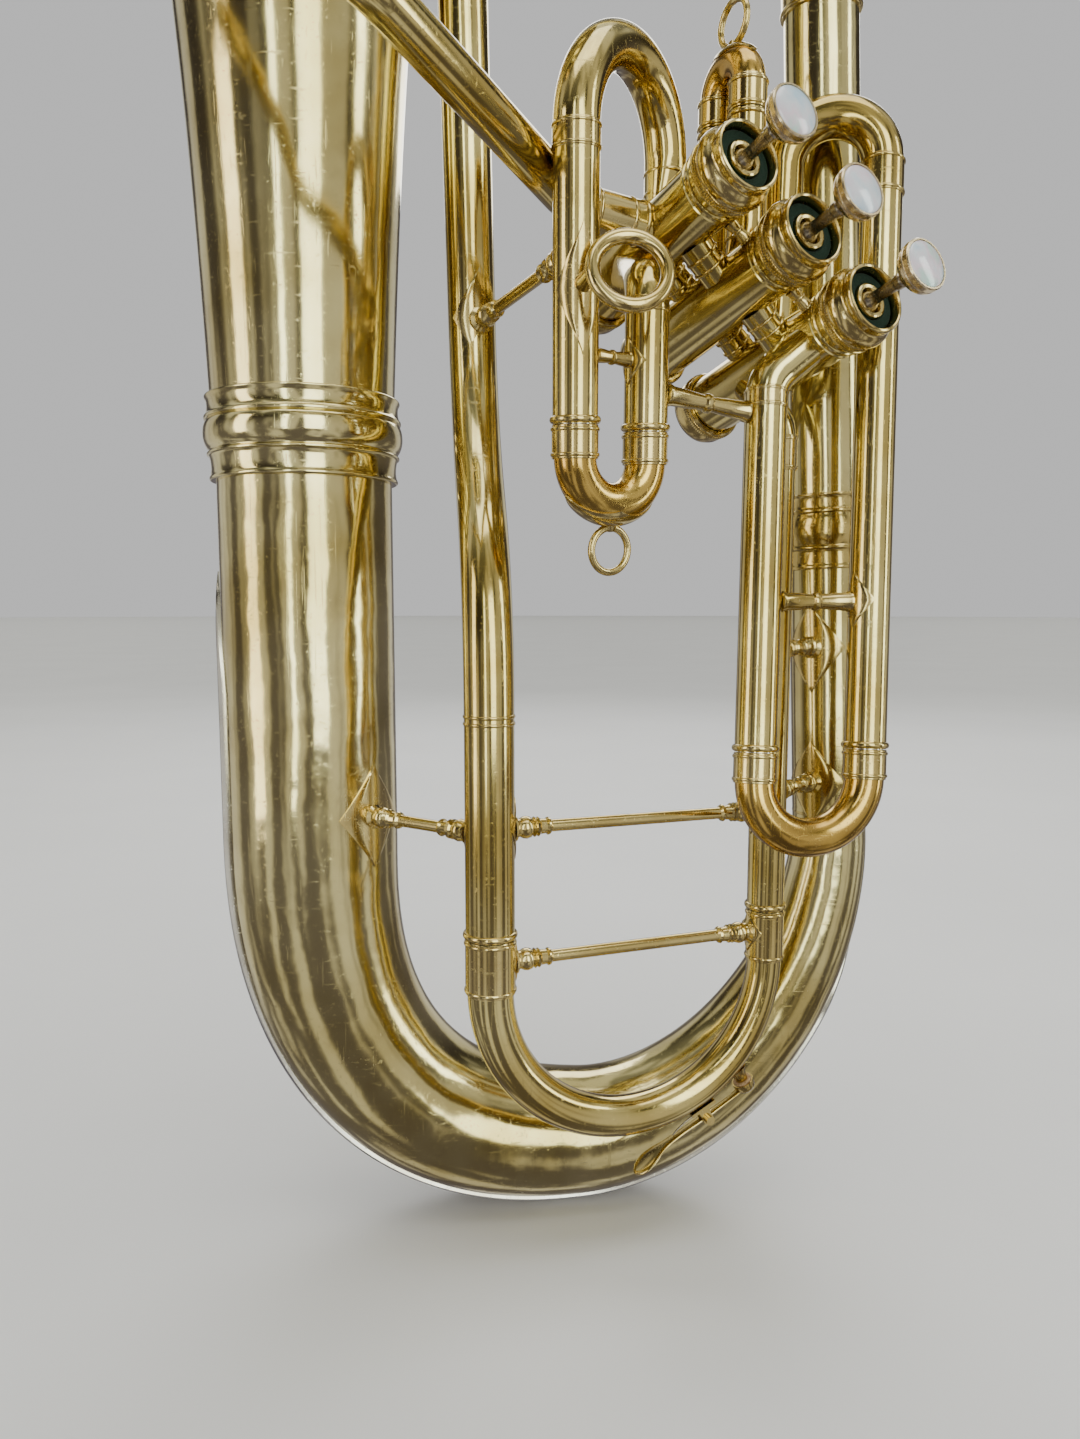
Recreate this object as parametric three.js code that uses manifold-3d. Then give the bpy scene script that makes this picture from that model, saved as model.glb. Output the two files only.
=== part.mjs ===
// A tenor tuba with three front-action piston valves. Millimetres, +Z up along the bell.
// The origin is the lowest point of the bottom bow. +Y points away from the player's fingers.
import * as THREE from "three";
import { mergeVertices } from "three/addons/utils/BufferGeometryUtils.js";
import Module from "manifold-3d";

const wasm = await Module();
wasm.setup();

// Fits
const GAP = 0.3; // between two pieces that are soldered or screwed together
const WALL = 1.1; // of a thin brass tube
const JOINT = 1.2; // between two tubes that meet end to end at a small angle

// Bell, an exponential horn about its own vertical axis
const BELL = { x: -115, y: -12, rim: 125, top: 680, bottom: 345.4, flare: 0.34, throat: 10 };

// Large bow at the bottom, an upright arch between the bell and the right branch
const BOW = { topZ: 172, bottomZ: 30.815, bellRadius: 36.5, endRadius: 17, taper: 1.3, steps: 10 };
const BOW_FULLNESS = [2.4, 1.9]; // of its bell side and of its branch side
const GUARD = { thick: 1.2, clear: 1.35, halfAngle: 0.3, topZ: 286, last: 9 };

// Branches beside the bell
const RIGHT = { foot: [120, 13], head: [105, 13], headZ: 540, headRadius: 16 };
const LEFT = { head: [-47, -8], knee: [-43, -8], foot: [-34.5, -68], headRadius: 10.3, footRadius: 9.6 };

// Main tuning slide: two legs, the left one wider than the right one
const MAIN = { left: [-34.5, -68], right: [82, -28], leftRadius: 9.7, rightRadius: 7.8 };
const MAIN_LEGS = { bottomZ: 146, topZ: 230.5 };
const MAIN_SLIDE = { insert: 72, ferrule: 22, braceZ: 136 };
const LEG_BRACE_Z = 189;
const POST_Z = [196, 257]; // of the two posts between the right leg and the right branch

// Valve row: the middle of cap 2, the way the buttons face, and the way from valve 1 to valve 3
const VALVES = { centre: [85.3, -67.1, 412.6], axis: [0.48, -0.8415, 0.2468], row: [0.737, 0.237, -0.631] };
const VALVE_SPACING = 35;
const CASING = { radius: 13, bore: 11.8, top: -2.5, bottom: -105 };
const PISTON = { radius: 11.4, top: -7, bottom: -77 };
const BUTTON = { radius: 9.9, bottom: 17.8, top: 23.2 };

// Valve slides: the lower ends of their outer legs, the way the legs run, and the tube radius
const SLIDE_RADIUS = 8.3;
const FIRST = { left: [-2.2, -76, 341], right: [25, -59, 341], up: [-0.002, -0.09, 1] };
const SECOND = { front: [66.5, -31, 467.5], rear: [57.5, -13, 467.5], up: [0, 0, 1], radius: 7.4 };
const THIRD = { left: [70.2, -57, 218], right: [116.3, -47.5, 218], up: [0.03, 0.113, 0.993] };
const SLIDE_FERRULE = 12; // straight length of each valve slide's bow below its inner legs

// Leadpipe from valve 1, past the front of the bell, to the mouthpiece at its left
const LEADPIPE = { radius: 7.9, corners: [[-2, -53, 425], [-75, -163, 457], [-205, -120, 520]] };

// Thumb ring on the first valve slide
const THUMB_RING = { centre: [15.5, -98, 388], normal: [0, -0.98, 0.17], radius: 13.2, wire: 2.2 };

const Z_AXIS = new THREE.Vector3(0, 0, 1);
const point = (x, y, z) => new THREE.Vector3(x, y, z);
const group = new THREE.Group();

function brass(color, roughness = 0.22) {
  return new THREE.MeshStandardMaterial({ color, roughness, metalness: 1 });
}

const GOLD = 0xc9a862;
const NICKEL = 0xcfc9b8;

// ---- Solids and booleans ----

function solidOf(geometry) {
  const bare = geometry.index ? geometry.toNonIndexed() : geometry.clone();
  bare.deleteAttribute("normal");
  bare.deleteAttribute("uv");
  const merged = mergeVertices(bare, 1e-3);
  const mesh = new wasm.Mesh({
    numProp: 3,
    vertProperties: merged.attributes.position.array,
    triVerts: new Uint32Array(merged.index.array),
  });
  return new wasm.Manifold(mesh);
}

function geometryOf(solid) {
  const { vertProperties, triVerts } = solid.getMesh();
  const geometry = new THREE.BufferGeometry();
  geometry.setAttribute("position", new THREE.BufferAttribute(vertProperties, 3));
  geometry.setIndex(new THREE.BufferAttribute(triVerts, 1));
  return geometry;
}

const join = (...parts) => geometryOf(parts.map(solidOf).reduce((sum, next) => sum.add(next)));
const cut = (part, ...tools) =>
  geometryOf(tools.map(solidOf).reduce((left, tool) => left.subtract(tool), solidOf(part)));

function piece(name, geometry, material, parent = group) {
  const mesh = new THREE.Mesh(geometry, material);
  mesh.name = name;
  parent.add(mesh);
  return mesh;
}

// ---- Centre lines ----

// Straight runs between corner points, each inner corner rounded to an arc.
function roundedRoute(corners, radius, steps = 4) {
  const route = [corners[0]];
  for (let i = 1; i < corners.length - 1; i += 1) {
    const back = corners[i - 1].clone().sub(corners[i]).normalize();
    const ahead = corners[i + 1].clone().sub(corners[i]).normalize();
    const half = back.angleTo(ahead) / 2;
    const reach = radius / Math.tan(half);
    const inward = back.clone().add(ahead).normalize();
    const centre = corners[i].clone().addScaledVector(inward, radius / Math.sin(half));
    const start = corners[i].clone().addScaledVector(back, reach).sub(centre);
    const axis = back.clone().cross(ahead).normalize().negate();
    for (let k = 0; k <= steps; k += 1) {
      const turn = ((Math.PI - 2 * half) * k) / steps;
      route.push(start.clone().applyAxisAngle(axis, turn).add(centre));
    }
  }
  route.push(corners[corners.length - 1]);
  return route;
}

// An arch from one end to the other, bulging by depth along a direction. Fullness 2 is an ellipse,
// and more is squarer; the first half and the second half may differ.
function bowRoute(from, to, bulge, depth, steps, fullness = [2, 2]) {
  const middle = from.clone().add(to).multiplyScalar(0.5);
  const arm = from.clone().sub(middle);
  return Array.from({ length: steps + 1 }, (_, k) => {
    const turn = (Math.PI * k) / steps;
    const power = 2 / fullness[2 * k <= steps ? 0 : 1];
    const reach = Math.sign(Math.cos(turn)) * Math.abs(Math.cos(turn)) ** power;
    const across = middle.clone().addScaledVector(arm, reach);
    return across.addScaledVector(bulge, depth * Math.abs(Math.sin(turn)) ** power);
  });
}

// Evenly spaced points on a straight line, both ends included.
function straightRoute(from, to, steps) {
  return Array.from({ length: steps + 1 }, (_, k) => from.clone().lerp(to, k / steps));
}

function lengthsAlong(route) {
  const lengths = [0];
  for (let i = 1; i < route.length; i += 1) {
    lengths.push(lengths[i - 1] + route[i].distanceTo(route[i - 1]));
  }
  return lengths;
}

// Directions and one side vector at every station, the side vector carried along without twist.
function framesAlong(route, side) {
  let across = side ?? new THREE.Vector3(0.31, 0.87, 0.22);
  return route.map((here, i) => {
    const before = route[Math.max(i - 1, 0)];
    const after = route[Math.min(i + 1, route.length - 1)];
    const back = here.clone().sub(before).normalize();
    const ahead = after.clone().sub(here).normalize();
    const tangent = back.add(ahead).normalize();
    across = across.clone().addScaledVector(tangent, -across.dot(tangent)).normalize();
    return { here, tangent, across, up: tangent.clone().cross(across) };
  });
}

// Bends a straight extrusion, one unit long per station, on to a route.
function bend(shape, route, place, side) {
  const frames = framesAlong(route, side);
  const steps = route.length - 1;
  const geometry = new THREE.ExtrudeGeometry(shape, { depth: steps, steps, bevelEnabled: false });
  const position = geometry.attributes.position;
  for (let i = 0; i < position.count; i += 1) {
    const station = Math.round(position.getZ(i));
    const { here, across, up } = frames[station];
    const [a, b] = place(position.getX(i), position.getY(i), station);
    const moved = here.clone().addScaledVector(across, a).addScaledVector(up, b);
    position.setXYZ(i, moved.x, moved.y, moved.z);
  }
  return geometry;
}

function circle(radius, sides) {
  return Array.from({ length: sides }, (_, k) => {
    const turn = (2 * Math.PI * k) / sides;
    return new THREE.Vector2(radius * Math.cos(turn), radius * Math.sin(turn));
  });
}

// A hollow tube along a route. The outer and the bore radius are each a number, or a function of the
// share of the length; without a bore the tube has a thin wall.
function tube(route, outer, { bore, sides = 10, side } = {}) {
  const ring = new THREE.Shape(circle(1, sides));
  ring.holes.push(new THREE.Path(circle(0.5, sides).reverse()));
  const lengths = lengthsAlong(route);
  const total = lengths[lengths.length - 1];
  const outerAt = typeof outer === "function" ? outer : () => outer;
  const boreAt = bore ?? ((share) => outerAt(share) - WALL);
  return bend(ring, route, (x, y, station) => {
    const inside = Math.hypot(x, y) < 0.75;
    const share = lengths[station] / total;
    const scale = inside ? 2 * boreAt(share) : outerAt(share);
    return [x * scale, y * scale];
  }, side);
}

// A solid round bar along a route.
function rod(route, radius, sides = 8, side = undefined) {
  return bend(new THREE.Shape(circle(1, sides)), route, (x, y) => [x * radius, y * radius], side);
}

// ---- Turned pieces ----

function lathe(profile, sides) {
  const points = profile.map(([radius, z]) => new THREE.Vector2(radius, z));
  return new THREE.LatheGeometry(points, sides).rotateX(Math.PI / 2);
}

// Moves a turned piece so that its axis runs from one point towards another.
function stand(geometry, foot, direction) {
  const turn = new THREE.Quaternion().setFromUnitVectors(Z_AXIS, direction.clone().normalize());
  return geometry.applyQuaternion(turn).translate(foot.x, foot.y, foot.z);
}

function cylinder(radius, from, to, sides = 12) {
  const length = from.distanceTo(to);
  const shape = new THREE.CylinderGeometry(radius, radius, length, sides).rotateX(Math.PI / 2);
  return stand(shape.translate(0, 0, length / 2), from, to.clone().sub(from));
}

// A turned ring with beads at its ends, round a tube of the given radius.
function ferrule(inner, length, thick, sides) {
  const outer = inner + thick;
  const bead = outer + 0.7;
  const profile = [
    [inner, 0],
    [bead, 0],
    [bead, 2],
    [outer, 2.8],
    [outer, length - 2.8],
    [bead, length - 2],
    [bead, length],
    [inner, length],
    [inner, 0],
  ];
  return lathe(profile, sides);
}

// ---- Bell and bottom bow ----

const hornRadius = (z) => BELL.rim * (BELL.throat / (BELL.throat + BELL.top - z)) ** BELL.flare;

function bellGeometry() {
  const depths = [334.6, 220, 140, 90, 56, 34, 18, 7];
  const outside = depths.map((depth) => [hornRadius(BELL.top - depth), BELL.top - depth]);
  const bead = [
    [BELL.rim - 4.5, BELL.top - 3.4],
    [BELL.rim - 1, BELL.top - 3.4],
    [BELL.rim, BELL.top - 1.7],
    [BELL.rim - 1, BELL.top],
    [BELL.rim - 5.5, BELL.top],
  ];
  const inside = outside.map(([radius, z]) => {
    const slope = hornRadius(z + 0.5) - hornRadius(z - 0.5);
    const tilt = Math.hypot(1, slope);
    return [radius - WALL / tilt, z + (WALL * slope) / tilt];
  });
  inside[0][1] = BELL.bottom;
  return lathe([...outside, ...bead, ...inside.reverse(), outside[0]], 20);
}

const bellFoot = point(BELL.x, BELL.y, BELL.bottom - GAP);
const bowStart = point(BELL.x, BELL.y, BOW.topZ);
const bowEnd = point(...RIGHT.foot, BOW.topZ);
const DOWN = point(0, 0, -1);
const BOW_SIDE = point(0, 1, 0);
const bowArc = bowRoute(bowStart, bowEnd, DOWN, BOW.topZ - BOW.bottomZ, BOW.steps, BOW_FULLNESS);

const bowRadius = (share) => BOW.bellRadius - (BOW.bellRadius - BOW.endRadius) * share ** BOW.taper;
const bowTop = bowEnd.clone().setZ(BOW.topZ + 2);
const bowTube = [bellFoot, ...bowArc, bowTop];
const bowLength = lengthsAlong(bowTube).at(-1);
const legShare = bellFoot.distanceTo(bowStart) / bowLength;
const arcShare = lengthsAlong(bowArc).at(-1) / bowLength;
const bowRadiusWithLeg = (share) => bowRadius(THREE.MathUtils.clamp((share - legShare) / arcShare, 0, 1));

// A thin strip on the outer side of the bow, from high on its bell side and along most of its arc.
function guardGeometry() {
  const lengths = lengthsAlong(bowArc);
  const turns = [-1, -0.5, 0, 0.5, 1];
  const inner = turns.map((x) => new THREE.Vector2(x, 0));
  const outer = turns.map((x) => new THREE.Vector2(x, 1)).reverse();
  const route = [bowStart.clone().setZ(GUARD.topZ), ...bowArc.slice(0, GUARD.last + 1)];
  return bend(new THREE.Shape([...inner, ...outer]), route, (x, y, station) => {
    const share = lengths[Math.max(station - 1, 0)] / lengths[BOW.steps];
    const radius = bowRadius(share) + GUARD.clear + GUARD.thick * y;
    const turn = GUARD.halfAngle * x;
    return [-radius * Math.sin(turn), -radius * Math.cos(turn)];
  }, BOW_SIDE);
}

piece("bell", bellGeometry().translate(BELL.x, BELL.y, 0), brass(GOLD));
piece("bottom_bow", tube(bowTube, bowRadiusWithLeg, { sides: 16, side: BOW_SIDE }), brass(GOLD));
piece("bow_guard", guardGeometry(), brass(NICKEL, 0.3));
const bellFerrule = ferrule(BOW.bellRadius + 2.6, 34, 1, 20).translate(BELL.x, BELL.y, 327);
piece("bell_ferrule", bellFerrule, brass(GOLD));

// ---- Branches and top bow ----

const rightHead = point(...RIGHT.head, RIGHT.headZ);
const rightFoot = bowTop.clone().add(point(0, 0, JOINT));
const rightRadius = (share) => BOW.endRadius + (RIGHT.headRadius - BOW.endRadius) * share;
const rightRoute = straightRoute(rightFoot, rightHead, 7);
piece("right_branch", tube(rightRoute, rightRadius, { sides: 14, side: BOW_SIDE }), brass(GOLD));
const rightUp = rightHead.clone().sub(rightFoot).normalize();
const ferruleFoot = rightFoot.clone().addScaledVector(rightUp, 132);
const rightFerrule = stand(ferrule(BOW.endRadius + 0.1, 31, 1, 14), ferruleFoot, rightUp);
piece("right_branch_ferrule", rightFerrule, brass(GOLD));

const leftHead = point(...LEFT.head, RIGHT.headZ);
const topStart = rightHead.clone().add(point(0, 0, JOINT));
const topEnd = leftHead.clone().add(point(0, 0, JOINT));
const topArch = bowRoute(topStart.clone().setZ(545), topEnd.clone().setZ(545), Z_AXIS, 72, 10);
const topRoute = [topStart, ...topArch, topEnd];
const topRadius = (share) => RIGHT.headRadius + (LEFT.headRadius - RIGHT.headRadius) * share;
piece("top_bow", tube(topRoute, topRadius), brass(GOLD));

const leftFoot = point(...LEFT.foot, MAIN_LEGS.topZ + GAP);
const leftCorners = [leftHead, point(...LEFT.knee, 356), point(...LEFT.foot, 278), leftFoot];
const leftRadius = (share) => LEFT.headRadius + (LEFT.footRadius - LEFT.headRadius) * share;
piece("left_branch", tube(roundedRoute(leftCorners, 120, 5), leftRadius, { sides: 12 }), brass(GOLD));

// ---- Valve row ----

const valveAxis = point(...VALVES.axis).normalize();
const rowAxis = point(...VALVES.row).projectOnPlane(valveAxis).normalize();
const sideAxis = valveAxis.clone().cross(rowAxis);
const valveRow = new THREE.Group();
valveRow.matrix.makeBasis(rowAxis, sideAxis, valveAxis).setPosition(...VALVES.centre);
valveRow.matrix.decompose(valveRow.position, valveRow.quaternion, valveRow.scale);
group.add(valveRow);

// A point on the centre line of valve 1, 2 or 3, at a depth below its cap.
function onValve(number, depth) {
  return point(...VALVES.centre)
    .addScaledVector(rowAxis, (number - 2) * VALVE_SPACING)
    .addScaledVector(valveAxis, -depth);
}

// The space that a casing takes, with room for solder, to cut a tube that meets it.
const casingSpace = (number) =>
  cylinder(CASING.radius + 2 * GAP, onValve(number, 120), onValve(number, -5), 16);

const casingProfile = [
  [CASING.bore, CASING.bottom],
  [CASING.radius, CASING.bottom],
  [CASING.radius, -19],
  [CASING.radius + 1.5, -18.5],
  [CASING.radius + 1.5, -15.5],
  [CASING.radius, -15],
  [CASING.radius, CASING.top],
  [CASING.bore, CASING.top],
  [CASING.bore, CASING.bottom],
];
const capProfile = [
  [CASING.radius + GAP, -14.5],
  [15.4, -14.5],
  [15.4, -10],
  [14.8, -9],
  [14.8, -3],
  [13.6, 0],
  [12.5, 0],
  [12.2, -2],
  [CASING.radius + GAP, -2.2],
  [CASING.radius + GAP, -14.5],
];
const bottomCapProfile = [
  [0, -114],
  [4, -114],
  [5, -111.5],
  [12.5, -110],
  [14.6, -107],
  [14.6, -97],
  [CASING.radius + GAP, -97],
  [CASING.radius + GAP, CASING.bottom - GAP],
  [0, CASING.bottom - GAP],
];
const pistonProfile = [
  [0, PISTON.bottom],
  [PISTON.radius, PISTON.bottom],
  [PISTON.radius, PISTON.top],
  [5, PISTON.top],
  [5, -2.5],
  [2.2, -1.5],
  [2.2, BUTTON.bottom - GAP],
  [0, BUTTON.bottom - GAP],
];
const feltProfile = [
  [5 + GAP, PISTON.top + GAP],
  [10.9, PISTON.top + GAP],
  [10.9, -3],
  [5 + GAP, -3],
  [5 + GAP, PISTON.top + GAP],
];
const buttonProfile = [
  [0, BUTTON.bottom],
  [5, BUTTON.bottom],
  [BUTTON.radius - 0.8, BUTTON.bottom + 1.4],
  [BUTTON.radius, BUTTON.bottom + 3],
  [BUTTON.radius - 0.2, BUTTON.top],
  [BUTTON.radius - 1, BUTTON.top],
  [BUTTON.radius - 1, BUTTON.top - 2],
  [0, BUTTON.top - 2],
];
const pearlProfile = [
  [0, BUTTON.top - 2 + GAP],
  [BUTTON.radius - 1 - GAP, BUTTON.top - 2 + GAP],
  [BUTTON.radius - 1 - GAP, BUTTON.top - 0.4],
  [5, BUTTON.top + 1],
  [0, BUTTON.top + 1.5],
];

function springGeometry(radius, wire, bottom, top, turns) {
  const steps = turns * 6;
  const route = Array.from({ length: steps + 1 }, (_, k) => {
    const turn = (2 * Math.PI * turns * k) / steps;
    return point(radius * Math.cos(turn), radius * Math.sin(turn), bottom + ((top - bottom) * k) / steps);
  });
  return rod(route, wire, 4);
}

for (const number of [1, 2, 3]) {
  const valve = new THREE.Group();
  valve.position.x = (number - 2) * VALVE_SPACING;
  valveRow.add(valve);
  piece(`valve_casing_${number}`, lathe(casingProfile, 12), brass(GOLD), valve);
  piece(`top_cap_${number}`, lathe(capProfile, 12), brass(NICKEL), valve);
  piece(`bottom_cap_${number}`, lathe(bottomCapProfile, 12), brass(NICKEL), valve);
  piece(`piston_${number}`, lathe(pistonProfile, 12), brass(NICKEL, 0.35), valve);
  const felt = new THREE.MeshStandardMaterial({ color: 0x1f4a35, roughness: 1, metalness: 0 });
  piece(`stem_felt_${number}`, lathe(feltProfile, 12), felt, valve);
  piece(`finger_button_${number}`, lathe(buttonProfile, 12), brass(0xc9b08a), valve);
  const pearl = new THREE.MeshStandardMaterial({ color: 0xe8ebe6, roughness: 0.15, metalness: 0 });
  piece(`button_pearl_${number}`, lathe(pearlProfile, 12), pearl, valve);
  const spring = springGeometry(8.5, 0.6, CASING.bottom + 0.6, PISTON.bottom - 0.9, 3);
  piece(`valve_spring_${number}`, spring, brass(0x9c9c98, 0.35), valve);
}

// Short ports that join neighbouring casings, cut to sit on both.
const PORTS = { depth: 40, rise: 5, radius: 6.6, offset: -4 };
for (const first of [1, 2]) {
  const shift = sideAxis.clone().multiplyScalar(PORTS.offset);
  const from = onValve(first, PORTS.depth).add(shift);
  const to = onValve(first + 1, PORTS.depth + PORTS.rise).add(shift);
  const port = cut(cylinder(PORTS.radius, from, to, 10), casingSpace(first), casingSpace(first + 1));
  piece(`valve_port_${first}_${first + 1}`, port, brass(GOLD));
}

// ---- Slides ----

const ringGeometry = ({ centre, normal, radius, wire }, sides = 16) =>
  stand(new THREE.TorusGeometry(radius, wire, 6, sides), point(...centre), point(...normal));

// A U bow with its two inner legs. The legs are thin, and step out to full width where they leave the
// outer legs. A straight length of each side comes before the bend.
function slideBow(tops, up, radii, insert, straight, steps) {
  const feet = tops.map((top) => top.clone().addScaledVector(up, -straight));
  const depth = feet[0].distanceTo(feet[1]) / 2;
  const arc = bowRoute(feet[0], feet[1], up.clone().negate(), depth, steps);
  const raised = (distance) => tops.map((top) => top.clone().addScaledVector(up, distance));
  const [tips, necks, rims] = [insert, -GAP + 0.05, -GAP].map(raised);
  const route = [tips[0], necks[0], rims[0], ...arc, rims[1], necks[1], tips[1]];
  const lengths = lengthsAlong(route);
  const last = route.length - 1;
  const inner = radii.map((radius) => radius - WALL - 1.5 * GAP);
  const legBore = inner.map((radius) => radius - 0.9);
  const stationAt = (share) => lengths.findIndex((length) => length > share * lengths[last] - 0.01);
  const across = ([first, second], station) =>
    first + (second - first) * THREE.MathUtils.clamp((station - 2) / (last - 4), 0, 1);
  const radiusAt = (share) => {
    const station = stationAt(share);
    return across(station < 2 || station > last - 2 ? inner : radii, station);
  };
  const boreAt = (share) => across(legBore, stationAt(share));
  return tube(route, radiusAt, { bore: boreAt, side: tops[1].clone().sub(tops[0]) });
}

// A turned brace: thick sockets at its ends and a thin rod between them.
function brace(from, to, radius, socket, socketLength) {
  const length = from.distanceTo(to);
  const profile = [
    [0, 0],
    [socket, 0],
    [socket, socketLength],
    [radius, socketLength + 1.5],
    [radius, length - socketLength - 1.5],
    [socket, length - socketLength],
    [socket, length],
    [0, length],
  ];
  return stand(lathe(profile, 8), from, to.clone().sub(from));
}

// A brace between the centre lines of two tubes, ending just clear of each tube's wall.
function braceBetween(first, firstRadius, second, secondRadius, shape = [1.7, 2.8, 4]) {
  const along = second.clone().sub(first).normalize();
  const from = first.clone().addScaledVector(along, firstRadius + 2 * GAP);
  const to = second.clone().addScaledVector(along, -secondRadius - 2 * GAP);
  return brace(from, to, ...shape);
}

const onLeg = (foot, up, z) => foot.clone().addScaledVector(up, (z - foot.z) / up.z);
const alongLeg = (foot, up, length) => foot.clone().addScaledVector(up, length);

// Main tuning slide
const mainAt = (z) => [point(...MAIN.left, z), point(...MAIN.right, z)];
const [leftMouth, rightMouth] = mainAt(MAIN_LEGS.bottomZ);
const MAIN_SIDE = rightMouth.clone().sub(leftMouth);
const leftLeg = straightRoute(point(...MAIN.left, MAIN_LEGS.topZ), leftMouth, 3);
piece("main_slide_left_leg", tube(leftLeg, MAIN.leftRadius, { side: MAIN_SIDE }), brass(GOLD));
const outlet = roundedRoute([onValve(3, 76), point(...MAIN.right, 349), rightMouth], 14);
const rightLeg = cut(tube(outlet.reverse(), MAIN.rightRadius, { side: MAIN_SIDE }), casingSpace(3));
const posts = POST_Z.map((z) => {
  const branch = onLeg(rightFoot, rightUp, z);
  return braceBetween(branch, BOW.endRadius, point(...MAIN.right, z), MAIN.rightRadius - 1.2);
});
piece("main_slide_right_leg", join(rightLeg, ...posts), brass(GOLD));

// A long brace straight across the slide, its ends sunk into the walls or clear of them.
function mainBrace(z, sink) {
  const [left, right] = mainAt(z);
  return braceBetween(left, MAIN.leftRadius - sink, right, MAIN.rightRadius - sink, [1.9, 3.2, 10]);
}

const mainRadii = [MAIN.leftRadius, MAIN.rightRadius];
const mainTops = [leftMouth, rightMouth];
const mainBow = slideBow(mainTops, Z_AXIS, mainRadii, MAIN_SLIDE.insert, MAIN_SLIDE.ferrule, 10);
piece("leg_brace", mainBrace(LEG_BRACE_Z, 0), brass(GOLD));

// First valve slide
const firstUp = point(...FIRST.up).normalize();
const [firstLeft, firstRight] = [point(...FIRST.left), point(...FIRST.right)];
const FIRST_SIDE = firstRight.clone().sub(firstLeft);
const firstPort = onValve(1, 52);
const firstArch = bowRoute(alongLeg(firstLeft, firstUp, 99), firstPort.clone().setZ(448), Z_AXIS, 34, 8);
const firstCrook = tube([firstLeft, ...firstArch, firstPort], SLIDE_RADIUS, { side: FIRST_SIDE });
piece("first_slide_crook", cut(firstCrook, casingSpace(1)), brass(GOLD));
const firstElbowEnd = onValve(1, 78).add(point(0, 0, -3));
const firstCorners = [firstRight, alongLeg(firstRight, firstUp, 53), firstElbowEnd];
const firstElbow = tube(roundedRoute(firstCorners, 11), SLIDE_RADIUS, { side: FIRST_SIDE });
piece("first_slide_elbow", cut(firstElbow, casingSpace(1)), brass(GOLD));
const valveRadii = [SLIDE_RADIUS, SLIDE_RADIUS];
const firstBow = slideBow([firstLeft, firstRight], firstUp, valveRadii, 44, SLIDE_FERRULE, 6);

// Second valve slide, which points up
const [secondFront, secondRear] = [point(...SECOND.front), point(...SECOND.rear)];
const secondRadii = [SECOND.radius, SECOND.radius];
const SECOND_SIDE = secondRear.clone().sub(secondFront);
for (const [name, top, depth] of [["front", secondFront, 40], ["rear", secondRear, 62]]) {
  const leg = tube([top, onLeg(top, Z_AXIS, onValve(2, depth).z)], SECOND.radius, { side: SECOND_SIDE });
  piece(`second_slide_${name}_leg`, cut(leg, casingSpace(2)), brass(GOLD));
}
const secondBow = slideBow([secondFront, secondRear], DOWN, secondRadii, 36, SLIDE_FERRULE, 6);

// Third valve slide
const thirdUp = point(...THIRD.up).normalize();
const [thirdLeft, thirdRight] = [point(...THIRD.left), point(...THIRD.right)];
const THIRD_SIDE = thirdRight.clone().sub(thirdLeft);
const thirdPort = onValve(3, 54);
const thirdTop = alongLeg(thirdRight, thirdUp, 237);
const thirdArch = bowRoute(thirdTop, thirdPort.clone().setZ(thirdTop.z), Z_AXIS, 19, 6);
const thirdCrook = tube([thirdRight, ...thirdArch, thirdPort], SLIDE_RADIUS, { side: THIRD_SIDE });
piece("third_slide_crook", cut(thirdCrook, casingSpace(3)), brass(GOLD));
const thirdCorners = [thirdLeft, alongLeg(thirdLeft, thirdUp, 147), onValve(3, 28)];
const thirdElbow = tube(roundedRoute(thirdCorners, 11), SLIDE_RADIUS, { side: THIRD_SIDE });
piece("third_slide_elbow", cut(thirdElbow, casingSpace(3)), brass(GOLD));
const thirdBow = slideBow([thirdLeft, thirdRight], thirdUp, valveRadii, 90, SLIDE_FERRULE, 6);
piece("third_slide_bow", thirdBow, brass(GOLD));

// Pull rings on the bows of the first and second slides
const PULL = { radius: 8.4, wire: 1.3 };
function pullRing(feet, up, side, tubeRadius) {
  const middle = feet[0].clone().add(feet[1]).multiplyScalar(0.5);
  const reach = SLIDE_FERRULE + feet[0].distanceTo(feet[1]) / 2 + tubeRadius + PULL.radius;
  const centre = middle.addScaledVector(up, -reach).toArray();
  return ringGeometry({ ...PULL, centre, normal: side.clone().cross(up).toArray() }, 12);
}
const firstRing = pullRing([firstLeft, firstRight], firstUp, FIRST_SIDE, SLIDE_RADIUS);
piece("first_slide_bow", join(firstBow, firstRing), brass(GOLD));
const secondRing = pullRing([secondFront, secondRear], DOWN, SECOND_SIDE, SECOND.radius);
piece("second_slide_bow", join(secondBow, secondRing), brass(GOLD));

// ---- Thumb ring ----

const ringCentre = point(...THUMB_RING.centre);
const ringLeft = ringCentre.clone().add(point(-THUMB_RING.radius, 0, 0));
const ringLeg = onLeg(firstLeft, firstUp, THUMB_RING.centre[2]);
const towards = ringLeft.clone().sub(ringLeg).normalize();
const postFoot = ringLeg.clone().addScaledVector(towards, SLIDE_RADIUS + 2 * GAP);
const ringPost = cylinder(2.4, postFoot, ringLeft, 8);
piece("thumb_ring", join(ringGeometry(THUMB_RING), ringPost), brass(GOLD));

// ---- Leadpipe, receiver and mouthpiece ----

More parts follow.
